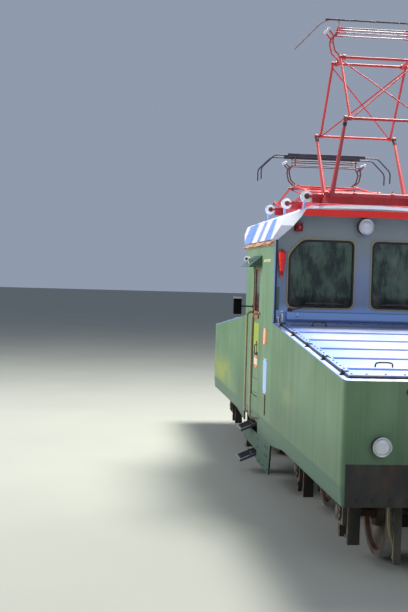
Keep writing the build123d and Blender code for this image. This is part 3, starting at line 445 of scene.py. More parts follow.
def rounded(outline, radius, steps=4):
    """Closed outline of pairs with each corner drawn as a short curve."""
    points = []
    for i, corner in enumerate(outline):
        here, before = Vector(corner), Vector(outline[i - 1])
        after = Vector(outline[(i + 1) % len(outline)])
        start = here + (before - here).normalized() * radius
        end = here + (after - here).normalized() * radius
        for k in range(steps + 1):
            t = k / steps
            points.append(start * (1 - t) ** 2 + here * (2 * t * (1 - t)) + end * t ** 2)
    return points


def panel_outline(x0, x1, z0, z1, radius):
    """Outline of an upright panel with rounded corners."""
    return [tuple(p) for p in rounded([(x0, z0), (x1, z0), (x1, z1), (x0, z1)], radius)]


def add_tube(bm, points, radius, sides=10, closed=False, normal=None):
    """Round bar through the points. An open one has its corners cut twice into short runs."""
    path = [Vector(p) for p in points]
    for _ in range(0 if closed else 2):
        softer = [path[0]]
        for before, here, after in zip(path, path[1:], path[2:]):
            softer += [here.lerp(before, 0.2), here.lerp(after, 0.2)]
        path = softer + [path[-1]]
    count = len(path)
    side = Vector(normal) if normal else None
    rings = []
    for i, point in enumerate(path):
        if closed:
            ahead = (path[(i + 1) % count] - path[i - 1]).normalized()
        else:
            ahead = (path[min(i + 1, count - 1)] - path[max(i - 1, 0)]).normalized()
        side = side or ahead.orthogonal().normalized()
        side = (side - ahead * side.dot(ahead)).normalized()
        other = ahead.cross(side)
        turns = [2 * math.pi * k / sides for k in range(sides)]
        spokes = (side * math.cos(a) + other * math.sin(a) for a in turns)
        rings.append([bm.verts.new(point + spoke * radius) for spoke in spokes])
    following = rings[1:] + ([rings[0]] if closed else [])
    for lower, upper in zip(rings, following):
        for k in range(sides):
            m = (k + 1) % sides
            bm.faces.new([lower[k], lower[m], upper[m], upper[k]])
    if not closed:
        bm.faces.new(rings[0])
        bm.faces.new(rings[-1])


def add_prism(bm, outline, low, high, matrix=Matrix()):
    """Flat outline of (x, y) pairs drawn out along Z."""
    rings = [[bm.verts.new(matrix @ Vector((x, y, z))) for x, y in outline] for z in (low, high)]
    count = len(outline)
    for i in range(count):
        j = (i + 1) % count
        bm.faces.new([rings[0][i], rings[0][j], rings[1][j], rings[1][i]])
    bm.faces.new(rings[0])
    bm.faces.new(rings[1])


def hood_top(x, y, above):
    """Point over the front hood's sloping top: x along the slope from the cab."""
    return Vector((CAB + x * math.cos(SLOPE) + above * math.sin(SLOPE), y,
                   HOOD_CAB - x * math.sin(SLOPE) + above * math.cos(SLOPE)))


# Repeated fittings by Geometry Nodes

SOCKETS = {float: "NodeSocketFloat", int: "NodeSocketInt", type(None): "NodeSocketObject"}


class Tree:
    """A geometry tree with named inputs. What it makes is set on the points it is given."""

    def __init__(self, name, inputs):
        self.group = bpy.data.node_groups.new(name, "GeometryNodeTree")
        face = self.group.interface
        face.new_socket("Geometry", in_out="INPUT", socket_type="NodeSocketGeometry")
        for label, default in inputs.items():
            socket = face.new_socket(label, in_out="INPUT", socket_type=SOCKETS[type(default)])
            if default is not None:
                socket.default_value = default
        face.new_socket("Geometry", in_out="OUTPUT", socket_type="NodeSocketGeometry")
        self.given = self.node("NodeGroupInput")

    def node(self, kind, inputs=None, **settings):
        """Adds a node, links or sets its inputs, and gives back its outputs."""
        made = self.group.nodes.new(kind)
        for key, value in settings.items():
            setattr(made, key, value)
        for key, value in (inputs or {}).items():
            for part in value if isinstance(value, list) else [value]:
                if isinstance(part, bpy.types.NodeSocket):
                    self.group.links.new(part, made.inputs[key])
                else:
                    made.inputs[key].default_value = part
        return made.outputs

    def times(self, value, factor):
        return self.node("ShaderNodeMath", {0: value, 1: factor}, operation="MULTIPLY")[0]

    def turn_to(self, label, axis, more=None, **settings):
        """Rotation that lays an axis along the point's own direction of that name."""
        course = self.node("GeometryNodeInputNamedAttribute", {"Name": label}, data_type="FLOAT_VECTOR")[0]
        return self.node("FunctionNodeAlignRotationToVector", {"Vector": course, **(more or {})}, axis=axis,
                         **settings)[0]

    def end(self, shape, turn, material, **more):
        """Sets the shape on the points, makes it real and paints it."""
        inputs = {"Points": self.given["Geometry"], "Instance": shape, "Rotation": turn, **more}
        placed = self.node("GeometryNodeInstanceOnPoints", inputs)
        real = self.node("GeometryNodeRealizeInstances", {0: placed[0]})
        painted = self.node("GeometryNodeSetMaterial", {"Geometry": real[0], "Material": material})
        self.node("NodeGroupOutput", {0: painted[0]})
        return self.group


def applied(carrier, tree, sizes):
    """Runs the tree on the carrier with its named sizes and keeps the result as a plain mesh."""
    modifier = carrier.modifiers.new("repeat", "NODES")
    modifier.node_group = tree
    for item in tree.interface.items_tree:
        if item.in_out == "INPUT" and item.name in sizes:
            modifier[item.identifier] = sizes[item.name]
    bpy.context.view_layer.update()
    evaluated = carrier.evaluated_get(bpy.context.evaluated_depsgraph_get())
    mesh = bpy.data.meshes.new_from_object(evaluated)
    carrier.modifiers.clear()
    carrier.data = mesh
    return carrier


def bolts_tree(material):
    """A hexagon-headed bolt on a washer at each point, facing along the point's own direction."""
    tree = Tree("bolt heads", {"Head radius": 0.012, "Head height": 0.008, "Head sides": 6})
    radius, height = tree.given["Head radius"], tree.given["Head height"]
    head = tree.node("GeometryNodeMeshCylinder", {
        "Vertices": tree.given["Head sides"], "Radius": radius, "Depth": height})
    lift = tree.node("ShaderNodeCombineXYZ", {"Z": tree.times(height, 0.5)})
    raised = tree.node("GeometryNodeTransform", {"Geometry": head[0], "Translation": lift[0]})
    washer = tree.node("GeometryNodeMeshCylinder", {
        "Vertices": 12, "Radius": tree.times(radius, 1.45), "Depth": tree.times(height, 0.4)})
    both = tree.node("GeometryNodeJoinGeometry", {0: [raised[0], washer[0]]})
    return tree.end(both[0], tree.turn_to("facing", "Z"), material)


def coil_tree(material):
    """A coil spring on each point, standing along the point's own direction."""
    tree = Tree("coil springs", {
        "Coil radius": 0.04, "Wire radius": 0.006, "Coil length": 0.2, "Turns": 8.0})
    coil = tree.given["Coil radius"]
    spiral = tree.node("GeometryNodeCurveSpiral", {
        "Resolution": 14, "Rotations": tree.given["Turns"], "Start Radius": coil, "End Radius": coil,
        "Height": tree.given["Coil length"]})
    wire = tree.node("GeometryNodeCurvePrimitiveCircle", {
        "Resolution": 8, "Radius": tree.given["Wire radius"]})
    spring = tree.node("GeometryNodeCurveToMesh", {
        "Curve": spiral[0], "Profile Curve": wire[0], "Fill Caps": True})
    return tree.end(spring[0], tree.turn_to("facing", "Z"), material)


def stamp_tree(material):
    """The given shape at each point, its Z along the point's facing and its X along the point's course."""
    tree = Tree("stamped fittings", {"Size": 1.0, "Shape": None})
    shape = tree.node("GeometryNodeObjectInfo", {"Object": tree.given["Shape"]})["Geometry"]
    turn = tree.turn_to("course", "X", {"Rotation": tree.turn_to("facing", "Z")}, pivot_axis="Z")
    return tree.end(shape, turn, material, Scale=tree.given["Size"])


def carrier_of(name, places):
    """Points with a facing each, and a course if given: places is a list of (point, facing[, course])."""
    mesh = bpy.data.meshes.new(name)
    mesh.from_pydata([tuple(place[0]) for place in places], [], [])
    for i, label in enumerate(("facing", "course")[:len(places[0]) - 1]):
        values = mesh.attributes.new(label, "FLOAT_VECTOR", "POINT")
        values.data.foreach_set("vector", [c for place in places for c in Vector(place[i + 1]).normalized()])
    return new_object(name, mesh)


def bolted(name, places, finish, size, body="body", sides=6):
    """Bolt heads of a radius at the places, facing along their directions."""
    wanted = {"Head radius": size, "Head height": size * 0.7, "Head sides": sides}
    return finished(applied(carrier_of(name, places), bolts_tree(PAINTS[finish]), wanted), None, body)


def coiled(name, places, finish, body, coil, wire, length, turns):
    """Coil springs standing on the places along their directions."""
    wanted = {"Coil radius": coil, "Wire radius": wire, "Coil length": length, "Turns": turns}
    piece = applied(carrier_of(name, places), coil_tree(PAINTS[finish]), wanted)
    piece.data.shade_smooth()
    return finished(piece, None, body)


def stamped(name, places, build, finish):
    """The shape from build(bm) at each (point, facing, course)."""
    bm = bmesh.new()
    build(bm)
    shape = from_bmesh(name + "_shape", bm, True)
    piece = applied(carrier_of(name, places), stamp_tree(PAINTS[finish]), {"Shape": shape, "Size": 1.0})
    bpy.data.objects.remove(shape)
    return finished(piece, None, "body")


def row_of(start, end, count, direction):
    """Evenly spaced places from start to end, all facing one way."""
    a, b = Vector(start), Vector(end)
    return [(a.lerp(b, i / (count - 1)), Vector(direction)) for i in range(count)]


def moved_places(places, matrix):
    turn = matrix.to_3x3()
    return [(matrix @ Vector(place[0]), *(turn @ Vector(d) for d in place[1:])) for place in places]


def both_ends(places):
    """The places and the same ones turned to the other end and side."""
    return list(places) + moved_places(places, TURNED)


def both_sides(places):
    return list(places) + moved_places(places, ACROSS)


# Settings shown in the panel

class LocoPaints(bpy.types.PropertyGroup):
    body: FloatVectorProperty(name="Body", description="Sage green of the hoods and cab sides",
                              subtype="COLOR", default=(0.152, 0.268, 0.138))
    wall: FloatVectorProperty(name="End walls", description="Violet grey of the cab's end walls",
                              subtype="COLOR", default=(0.200, 0.255, 0.380))
    roof: FloatVectorProperty(name="Roof", description="Pale blue of the roof",
                              subtype="COLOR", default=(0.22, 0.36, 0.80))
    signal: FloatVectorProperty(name="Signal red", description="Red of the fascias and flag cases",
                                subtype="COLOR", default=(0.92, 0.022, 0.012))
    mast: FloatVectorProperty(name="Pantograph red", description="Faded red of the pantographs",
                              subtype="COLOR", default=(0.40, 0.026, 0.030))


class LocoSizes(bpy.types.PropertyGroup):
    bolt: FloatProperty(name="Bolt head", description="Radius of the panel bolts' heads",
                        default=0.011, min=0.004, max=0.03, unit="LENGTH")
    seal: FloatProperty(name="Cover seal", description="Radius of the rubber bead round a hood cover",
                        default=0.013, min=0.005, max=0.03, unit="LENGTH")
    sheds: IntProperty(name="Insulator ribs", description="Ribs on each roof insulator",
                       default=3, min=1, max=6)


PAINTS = {}


def paints():
    return bpy.context.scene.loco_paints


def sizes():
    return bpy.context.scene.loco_sizes


def make_finishes():
    """Every material of the locomotive, by the name of what it covers."""
    given = paints()
    colours = (given.body, given.wall, given.roof, given.signal, given.mast)
    body, wall, roof, red, mast = (tuple(colour) for colour in colours)
    dusty_mast = blend_of(mast, (0.62, 0.20, 0.22), 0.12)
    PAINTS.update({
        "body": old_paint("sage green paint", body, 0.10, 0.26, rust=0.4, over=sage_layers(body)),
        "door": old_paint("door paint", tone(body, 0.9), 0.10, 0.24, rust=0.7),
        "sunlit": old_paint("sunlit door panel", (0.36, 0.44, 0.055), 0.05, 0.25, rust=0.5),
        "wall": old_paint("end wall paint", wall, 0.08, 0.14, rust=0.25, over=wall_layers),
        "ledge": old_paint("ledge blue", (0.12, 0.19, 0.42), 0.08, 0.15, rust=0.25),
        "roof": roof_paint("roof paint", roof),
        "stand": old_paint("pale blue bracket", (0.36, 0.50, 0.86), 0.10, 0.15, rust=0.5),
        "cover": cover_paint("cover paint"),
        "lip": cover_paint("hood lip paint"),
        "drip": drip_paint("rusty drip rail"),
        "fascia": old_paint("fascia red", red, 0.0, 0.08, rust=0.2, rough=0.5, coat=0.1),
        # Signal red darkened as painted shade under the roof's overhang, on the tail lamps and their
        # brackets.
        "shaded_lamp_red": old_paint("lamp red", tone(red, 0.30), 0.04, 0.1, rust=0.3, rough=0.35),
        "flag": old_paint("flag case red", tone(red, 1.05), 0.05, 0.1, rust=0.3),
        "flag_grooves": old_paint("flag case shade", tone(red, 0.45), 0.0, 0.1, rust=0.3),
        # Teal darkened as painted shade on the awnings. The wall strips share it.
        "awning": old_paint("awning teal", (0.055, 0.13, 0.10), 0.1, 0.15, rust=0.5),
        "rail": old_paint("handrail tan", (0.34, 0.25, 0.14), 0.2, 0.3, rust=0.9, wear=1.0),
        "tread": bare_iron("step treads", (0.11, 0.115, 0.12), 0.2, 0.25, edge_highlight=1.0),
        # Body green darkened as painted shade in the step wells.
        "well": old_paint("well paint", tone(body, 0.18), 0.02, 0.2, rust=0.6),
        "frame": bare_iron("underframe black", (0.013, 0.013, 0.013), 0.25, 0.3, metallic=0.0, edge_highlight=0.3),
        "bogie": bare_iron("bogie iron", (0.022, 0.020, 0.017), 0.6, 0.4, metallic=0.1),
        "brake": bare_iron("brake iron", (0.035, 0.028, 0.024), 0.4, 0.7),
        "motor": bare_iron("motor black", (0.018, 0.018, 0.018), 0.4, 0.3),
        "khaki": old_paint("sand pipe khaki", (0.25, 0.21, 0.11), 0.1, 0.3, rust=0.9),
        "wheel": wheel_steel("wheel steel"),
        "coupler": bare_iron("coupler iron", (0.045, 0.038, 0.032), 0.3, 0.6),
        "dark_fitting": bare_iron("dark fittings", (0.045, 0.042, 0.04), 0.2, 0.5),
        "rust": bare_iron("rusty conduit", (0.20, 0.075, 0.03), 0.1, 0.8, metallic=0.1),
        "brass": bare_iron("aged brass", (0.36, 0.23, 0.07), 0.2, 0.1, rough=0.4, metallic=0.9),
        "silver": bare_iron("aluminium paint", (0.55, 0.56, 0.58), 0.15, 0.05, rough=0.35, metallic=0.8),
        "seal": plain_rubber("aged window rubber", (0.34, 0.29, 0.15)),
        "black_rubber": plain_rubber("black rubber", (0.014, 0.014, 0.015)),
        "glass": window_pane("window glass"),
        "mirror": plain_rubber("mirror shell", (0.004, 0.005, 0.005), Specular_IOR_Level=0.12),
        "dark_lamp": old_paint("headlamp black", (0.02, 0.02, 0.023), 0.05, 0.1, rust=0.3),
        "white_lamp": old_paint("side lamp white", (0.80, 0.78, 0.74), 0.0, 0.1, rust=0.3),
        "lens": lamp_lens("lamp lens", (0.62, 0.66, 0.68)),
        "dark_lens": lamp_lens("dark lens", (0.03, 0.035, 0.04)),
        "red_lens": lamp_lens("red lens", (0.45, 0.012, 0.010)),
        "porcelain": porcelain("insulator porcelain"),
        "hub": bare_iron("insulator hub", (0.075, 0.030, 0.020), 0.05, 0.6, metallic=0.1),
        "knob": porcelain("post knob"),
        "carbon": bare_iron("wear strip", (0.018, 0.017, 0.017), 0.0, 0.2, 0.5, 0.2, 1.0),
        "spring": bare_iron("spring steel", (0.06, 0.045, 0.04), 0.1, 0.6, metallic=0.4),
        "striped": striped_plate("striped plate"),
        "bordered": bordered_plate("bordered plate"),
        "sky_plate": old_paint("pale blue plate", (0.36, 0.55, 0.82), 0.15, 0.12, rust=0.3),
        "yellow_strip": old_paint("pale yellow strip", (0.56, 0.56, 0.24), 0.2, 0.12, rust=0.3),
        "wood": old_wood("sill wood"),
        # Pantograph red lightened as painted sunlight on the base, spring anchors and shaft levers.
        "pan_base": old_paint("pantograph base red", tone(mast, 1.15), 0.03, 0.2, rust=1.0, wear=0.8),
        "pan_lower": old_paint("lower arm red", dusty_mast, 0.05, 0.15, rust=0.8, wear=0.8),
        "pan_upper": old_paint("upper arm red", tone(mast, 1.3), 0.04, 0.15, rust=1.0, wear=0.8),
        "pan_dark": bare_iron("old head iron", (0.030, 0.022, 0.028), 0.05, 0.5, metallic=0.3),
        "head_front": head_iron("front head", "front", (0.045, 0.042, 0.060), (0.10, 0.028, 0.030)),
        "head_rear": head_iron("rear head", "rear", (0.36, 0.32, 0.34), (0.48, 0.032, 0.036)),
        "floor": plain_rubber("cab floor", (0.05, 0.045, 0.04)),
        "desk": old_paint("desk paint", (0.10, 0.125, 0.11), 0.1, 0.05, rust=0.2),
        "seat": plain_rubber("seat shell", (0.035, 0.03, 0.026)),
        "leather": worn_leather("seat leather", (0.075, 0.032, 0.018)),
        "piping": plain_rubber("seat piping", (0.025, 0.018, 0.014)),
    })


def head_iron(name, end, bars, posts):
    """Worn bars and horns over painted posts, on one pantograph head."""
    sheet = Sheet(name)
    grain = sheet.noise(60.0, detail=4.0)
    patches = sheet.noise(9.0, detail=5.0)
    out = sheet.y.away(0.0)
    post = out.rise(YOKE_Y - 0.05, YOKE_Y - 0.03) * out.rise(YOKE_Y + 0.22, YOKE_Y + 0.20)
    post = post * sheet.z.rise(top_of(end) + 0.405, top_of(end) + 0.385)
    paint = sheet.mix(post, bars, posts)
    paint = sheet.mix(patches.rise(0.45, 0.75) * 0.35, paint, tone(RUST, 0.8))
    paint = sheet.mix(grain.rise(0.5, 0.8) * 0.25, paint, tone(bars, 1.8))
    return sheet.finish(paint, grain * 0.2 + 0.40, grain, 0.2, 0.002, Metallic=(1.0 - post) * 0.3)


def roof_paint(name, colour):
    """Pale blue sheet roof with painted white highlight bands and a painted violet reflection band across it,
    and painted highlight on the brows.
    """
    sheet = Sheet(name)
    wander = sheet.noise(1.1, detail=3.0)
    # Painted highlight and reflection bands running across the roof.
    along = sheet.x + (sheet.z - (RAIL + 3.2)) * 0.55 + wander * 0.10
    white = along.rise(0.46, 0.38) * along.rise(-0.04, 0.04)
    white = white.most(along.rise(-0.20, -0.26) * along.rise(-0.64, -0.56))
    white = white.most(along.rise(1.15, 1.25)).most(sheet.x.rise(-0.96, -1.06))
    violet_reflection = along.rise(0.02, -0.04) * along.rise(-0.24, -0.18)
    with_violet_reflection = sheet.mix(violet_reflection * 0.6, colour, (0.33, 0.36, 0.80))
    streak = sheet.noise(2.0, (5.0, 0.6, 0.6), detail=4.0, shift=3.0)
    pale = sheet.mix(streak.rise(0.40, 0.70) * 0.5, (0.93, 0.94, 0.97), (0.66, 0.74, 0.94))
    paint = sheet.mix(white, with_violet_reflection, pale)
    patches = sheet.noise(5.0, detail=5.0)
    paint = sheet.mix(patches.rise(0.58, 0.82) * 0.22, paint, tone(colour, 0.62))
    chips = sheet.noise(24.0, detail=6.0, roughness=0.7)
    worn = (chips + sheet.edges(0.006) * 0.25).rise(0.80, 0.88)
    paint = sheet.mix(worn * 0.6, paint, tone(RUST, 1.6))
    return sheet.finish(paint, patches * 0.2 + 0.34, wander + patches * 0.15, 0.3, 0.01)


def cover_paint(name):
    """Pale covers with painted blue and violet sky reflections in patches, painted blue shade along their
    outer sides and a painted shadow of the cab across their inner ends.
    """
    sheet = Sheet(name)
    patches = sheet.noise(1.7, (1.2, 0.55, 1.0), detail=5.0)
    fine = sheet.noise(11.0, detail=5.0, shift=4.0)
    # Painted sky reflections: blue and violet patches.
    paint = sheet.mix(patches.rise(0.30, 0.66), (0.29, 0.38, 0.70), (0.50, 0.54, 0.75))
    paint = sheet.mix(fine.rise(0.50, 0.80) * 0.25, paint, (0.22, 0.29, 0.52))
    # Painted shade: bluer along the covers' outer sides.
    paint = sheet.mix(sheet.y.away(0.0).rise(0.62, 1.06) * 0.7, paint, (0.18, 0.34, 0.84))
    shade = sheet.x.away(0.0).rise(CAB + 0.66, CAB + 0.58) * 0.75
    paint = sheet.mix(shade, paint, (0.045, 0.075, 0.15))
    chips = sheet.noise(26.0, detail=6.0, roughness=0.7, shift=2.0)
    worn = (chips + sheet.edges(0.006) * 0.3).rise(0.82, 0.90)
    paint = sheet.mix(worn * 0.6, paint, tone(RUST, 1.2))
    return sheet.finish(paint, fine * 0.25 + 0.36, patches + fine * 0.2, 0.3, 0.006)


def drip_paint(name):
    """Eave strip: orange rust breaking through cream paint."""
    sheet = Sheet(name)
    flakes = sheet.noise(6.0, (1.0, 4.0, 4.0), detail=6.0, roughness=0.65)
    fine = sheet.noise(30.0, detail=4.0)
    paint = sheet.mix(flakes.rise(0.44, 0.56), (0.42, 0.16, 0.06), (0.86, 0.60, 0.42))
    paint = sheet.mix(fine.rise(0.6, 0.75) * 0.5, paint, RUST)
    return sheet.finish(paint, fine * 0.3 + 0.5, flakes, 0.3, 0.003)


def striped_plate(name):
    """Blank plate in upright orange and white stripes with a dark green edge."""
    sheet = Sheet(name, Coat_Weight=0.2)
    along = sheet.x.away(0.0)
    fade = sheet.noise(9.0, detail=5.0)
    orange = sheet.mix(fade.rise(0.4, 0.75), (0.82, 0.20, 0.035), (0.86, 0.36, 0.12))
    paint = sheet.mix(along.rise(0.518, 0.522) * along.rise(0.588, 0.584), orange, (0.88, 0.80, 0.70))
    paint = sheet.mix(along.rise(0.452, 0.448), paint, (0.03, 0.09, 0.05))
    return sheet.finish(paint, fade * 0.2 + 0.4, fade, 0.15, 0.001)


def bordered_plate(name):
    """Blank white plate with an orange lower edge."""
    sheet = Sheet(name, Coat_Weight=0.2)
    fade = sheet.noise(12.0, detail=5.0)
    white = sheet.mix(fade.rise(0.45, 0.7), (0.86, 0.78, 0.66), (0.62, 0.50, 0.36))
    paint = sheet.mix(sheet.z.rise(1.475, 1.468), white, (0.78, 0.24, 0.06))
    paint = sheet.mix(sheet.z.rise(1.552, 1.558), paint, (0.78, 0.30, 0.10))
    return sheet.finish(paint, fade * 0.2 + 0.42, fade, 0.15, 0.001)


def old_wood(name):
    """Varnished board gone orange-brown, with its grain along the train."""
    sheet = Sheet(name, Coat_Weight=0.1)
    grain = sheet.noise(30.0, (0.12, 1.0, 1.0), detail=6.0, roughness=0.6)
    wide = sheet.noise(5.0, (0.3, 1.0, 1.0), detail=3.0, shift=5.0)
    paint = sheet.mix(grain.rise(0.35, 0.65), (0.50, 0.19, 0.085), (0.30, 0.09, 0.035))
    paint = sheet.mix(wide.rise(0.5, 0.8) * 0.5, paint, (0.66, 0.34, 0.19))
    return sheet.finish(paint, grain * 0.25 + 0.42, grain, 0.3, 0.002)


def lamp_lens(name, colour):
    """Lens glass with faint ribs and a film of dust."""
    sheet = Sheet(name, Coat_Weight=0.6, Coat_Roughness=0.08)
    ribs = sheet.node("ShaderNodeMath", {"operation": "SINE"}, {0: sheet.y * 420.0})
    dust = sheet.noise(30.0, detail=5.0)
    paint = sheet.mix(dust.rise(0.5, 0.8) * 0.35, colour, blend_of(colour, DUST, 0.5))
    return sheet.finish(paint, dust * 0.15 + 0.12, ribs, 0.12, 0.001)


def wheel_steel(name):
    """Wheels: bright running band, rusty and oily web."""
    sheet = Sheet(name)
    grain = sheet.noise(40.0, detail=5.0)
    patches = sheet.noise(5.0, detail=5.0)
    paint = sheet.mix(patches.rise(0.4, 0.7), (0.030, 0.022, 0.018), tone(RUST, 0.8))
    paint = sheet.mix(sheet.noise(3.0, detail=3.0, shift=4.0).rise(0.45, 0.7) * 0.5, paint, tone(DUST, 0.6))
    along = (sheet.x.away(0.0) - BOGIE_X).away(0.0) - 1.0
    height = sheet.z - AXLE_Z
    radius = (along * along + height * height) ** 0.5
    band = radius.rise(TREAD_R - 0.012, TREAD_R - 0.006) * radius.rise(TREAD_R + 0.008, TREAD_R + 0.003)
    band = band * sheet.y.away(0.0).rise(0.446, 0.455) * sheet.y.away(0.0).rise(0.546, 0.538)
    paint = sheet.mix(band, paint, (0.50, 0.49, 0.47))
    rough = grain * 0.2 + 0.5 - band * 0.3
    return sheet.finish(paint, rough, grain, 0.3, 0.003, Metallic=band * 0.65 + 0.25)


def plain_rubber(name, colour, **constants):
    sheet = Sheet(name, **constants)
    grain = sheet.noise(120.0, detail=3.0)
    patches = sheet.noise(7.0, detail=4.0)
    paint = sheet.mix(patches.rise(0.4, 0.75) * 0.5, colour, tone(colour, 0.6))
    return sheet.finish(paint, grain * 0.15 + 0.55, grain, 0.15, 0.001)


def worn_leather(name, colour):
    """Cracked brown leathercloth, paler where it is sat on."""
    sheet = Sheet(name, Coat_Weight=0.08)
    pebble = sheet.cells(260.0)
    rubbed = sheet.noise(5.0, detail=4.0)
    cracks = sheet.noise(40.0, detail=7.0, roughness=0.7, shift=8.0)
    paint = sheet.mix(rubbed.rise(0.45, 0.70) * 0.6, colour, tone(colour, 2.2))
    paint = sheet.mix(cracks.rise(0.60, 0.72) * 0.6, paint, tone(colour, 0.35))
    return sheet.finish(paint, rubbed * 0.2 + 0.38, pebble * 0.5 + cracks, 0.25, 0.0012)


def window_pane(name):
    """Dark safety glass with dull green reflections and a film of dust."""
    sheet = Sheet(name, IOR=1.5, Specular_IOR_Level=0.6)
    # Painted dull green reflections in patches.
    reflection_patches = sheet.noise(2.2, (1.0, 3.2, 1.3), detail=7.0, roughness=0.62)
    paint = sheet.mix(reflection_patches.rise(0.38, 0.62), (0.018, 0.028, 0.022), (0.085, 0.130, 0.085))
    paint = sheet.mix(sheet.z.rise(RAIL + 2.42, RAIL + 2.34) * 0.8, paint, (0.006, 0.006, 0.006))
    film = sheet.noise(3.0, (2.0, 2.0, 0.6), detail=4.0, shift=6.0).rise(0.45, 0.8)
    paint = sheet.mix(film * 0.12, paint, (0.4, 0.4, 0.36))
    return sheet.set(Base_Color=paint, Roughness=film * 0.22 + 0.06, Alpha=0.93).material


def porcelain(name):
    sheet = Sheet(name, Coat_Weight=0.4, Coat_Roughness=0.12)
    soot = sheet.noise(9.0, detail=5.0)
    paint = sheet.mix(soot.rise(0.5, 0.8) * 0.4, (0.68, 0.69, 0.72), (0.28, 0.24, 0.21))
    return sheet.set(Base_Color=paint, Roughness=soot * 0.2 + 0.2).material


NODE_FINISH = {
    "hood_front": "body", "hood_rear": "body", "cab_side_left": "body", "cab_side_right": "body",
    "hood_covers": "cover", "cab_wall_front": "wall", "cab_wall_rear": "wall", "cab_roof": "roof",
    "drip_rails": "drip", "roof_fascias": "fascia", "tail_lamps": "shaded_lamp_red", "flag_cases": "flag_grooves",
    "door_left": "door", "door_right": "door", "awnings": "awning", "handrails": "rail",
    "step_treads": "tread", "step_wells": "well", "underframe": "frame", "equipment_box": "frame",
    "air_tanks": "frame", "couplers": "coupler", "window_frames": "seal", "end_glass": "glass",
    "door_glass_left": "glass", "door_glass_right": "glass", "mirrors": "mirror",
    "headlamps": "dark_lamp", "side_lamps": "white_lamp", "roof_insulators": "porcelain",
    "pantograph_base": "pan_base", "cab_floor": "floor", "control_desks": "desk",
    "driver_seats": "seat", "pan_front_head": "head_front", "pan_rear_head": "head_rear",
}
FINISH_BY_START = (
    ("bogie_frame", "bogie"), ("brake_gear", "brake"), ("traction_motors", "motor"), ("wheelset", "wheel"),
)


def finish_of(node):
    if node in NODE_FINISH:
        return NODE_FINISH[node]
    for start, finish in FINISH_BY_START:
        if node.startswith(start):
            return finish
    return "pan_upper" if "_upper_" in node else "pan_lower"


class LOCO_OT_frame_finishes(bpy.types.Operator):
    """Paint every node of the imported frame"""

    bl_idname = "loco.frame_finishes"
    bl_label = "Paint the frame"

    def execute(self, context):
        make_finishes()
        for name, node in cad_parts.items():
            node.data.materials.clear()
            node.data.materials.append(PAINTS[finish_of(name)])
        return {"FINISHED"}


HOOD_TOP = Matrix.Translation(hood_top(0, 0, 0)) @ Matrix.Rotation(SLOPE, 4, "Y")     # X down the slope
UP_SLOPE = Vector((math.sin(SLOPE), 0.0, math.cos(SLOPE)))     # out of the front hood's top
DOWN_SLOPE = Vector((math.cos(SLOPE), 0.0, -math.sin(SLOPE)))
OUT = Vector((0.0, 1.0, 0.0))
FORWARD = Vector((1.0, 0.0, 0.0))
UP = Vector((0.0, 0.0, 1.0))


class LOCO_OT_hood_covers(bpy.types.Operator):
    """Seal, clamp and bolt the lift-off covers of both hoods"""

    bl_idname = "loco.hood_covers"
    bl_label = "Hood covers"

    def execute(self, context):
        x0, x1 = COVER_X
        seal = sizes().seal

        def bead(bm):
            outline = [(x0, -COVER_HALF), (x0, COVER_HALF), (x1, COVER_HALF), (x1, -COVER_HALF)]
            points = [hood_top(x, y, seal * 0.55) for x, y in rounded(outline, 0.03)]
            add_tube(bm, points, seal, 8, closed=True, normal=UP_SLOPE)

        def lips(bm):
            for y in (-SIDE + 0.006, SIDE - 0.006):
                add_box(bm, (0.0, y - 0.006, -0.002), (SLOPE_LENGTH - 0.03, y + 0.006, 0.009), HOOD_TOP)

        def handles(bm):
            for x in (0.42, x1 - 0.34):
                for y in (-0.62, 0.62):
                    foot, top = COVER_T - 0.004, COVER_T + 0.055
                    bends = ((-0.08, foot), (-0.08, top), (0.08, top), (0.08, foot))
                    add_tube(bm, [hood_top(x, y + dy, h) for dy, h in bends], 0.008)
                    for dy in (-0.08, 0.08):
                        add_turned(bm, hood_top(x, y + dy, COVER_T), UP_SLOPE, mm(20, 0, 20, 4), 16)

        def clamp(bm):
            add_box(bm, (-0.02, 0.004, 0.0), (0.02, 0.045, 0.006))
            add_box(bm, (-0.014, 0.012, 0.0), (0.014, 0.034, COVER_T + 0.004))
            add_box(bm, (-0.014, -0.035, COVER_T + 0.002), (0.014, 0.034, COVER_T + 0.009))
            add_turned(bm, (0, 0.022, COVER_T + 0.008), UP, mm(11, 0, 11, 8, 6, 12), 6)
            add_rod(bm, (0, 0.022, COVER_T + 0.014), (0.045, 0.03, COVER_T + 0.014), 0.004, 8)

        piece_of("cover_seals", bead, "black_rubber", ends=True)
        piece_of("hood_lips", lips, "lip", ends=True, bevel=0.002)
        piece_of("cover_handles", handles, "dark_fitting", ends=True)
        count = 5
        reach = [x0 + 0.16 + i * (x1 - x0 - 0.32) / (count - 1) for i in range(count)]
        left = [(hood_top(x, COVER_HALF, 0), UP_SLOPE, DOWN_SLOPE) for x in reach]
        right = [(hood_top(x, -COVER_HALF, 0), UP_SLOPE, -DOWN_SLOPE) for x in reach]
        stamped("cover_clamps", both_ends(left + right), clamp, "dark_fitting")
        rows = []
        for y in (-COVER_HALF + 0.03, COVER_HALF - 0.03):
            rows += row_of(hood_top(x0 + 0.04, y, COVER_T), hood_top(x1 - 0.04, y, COVER_T), 25, UP_SLOPE)
        for x in (x0 + 0.04, x1 - 0.04):
            rows += row_of(hood_top(x, -0.86, COVER_T), hood_top(x, 0.86, COVER_T), 11, UP_SLOPE)
        bolted("cover_bolts", both_ends(rows), "dark_fitting", sizes().bolt * 0.8)
        return {"FINISHED"}


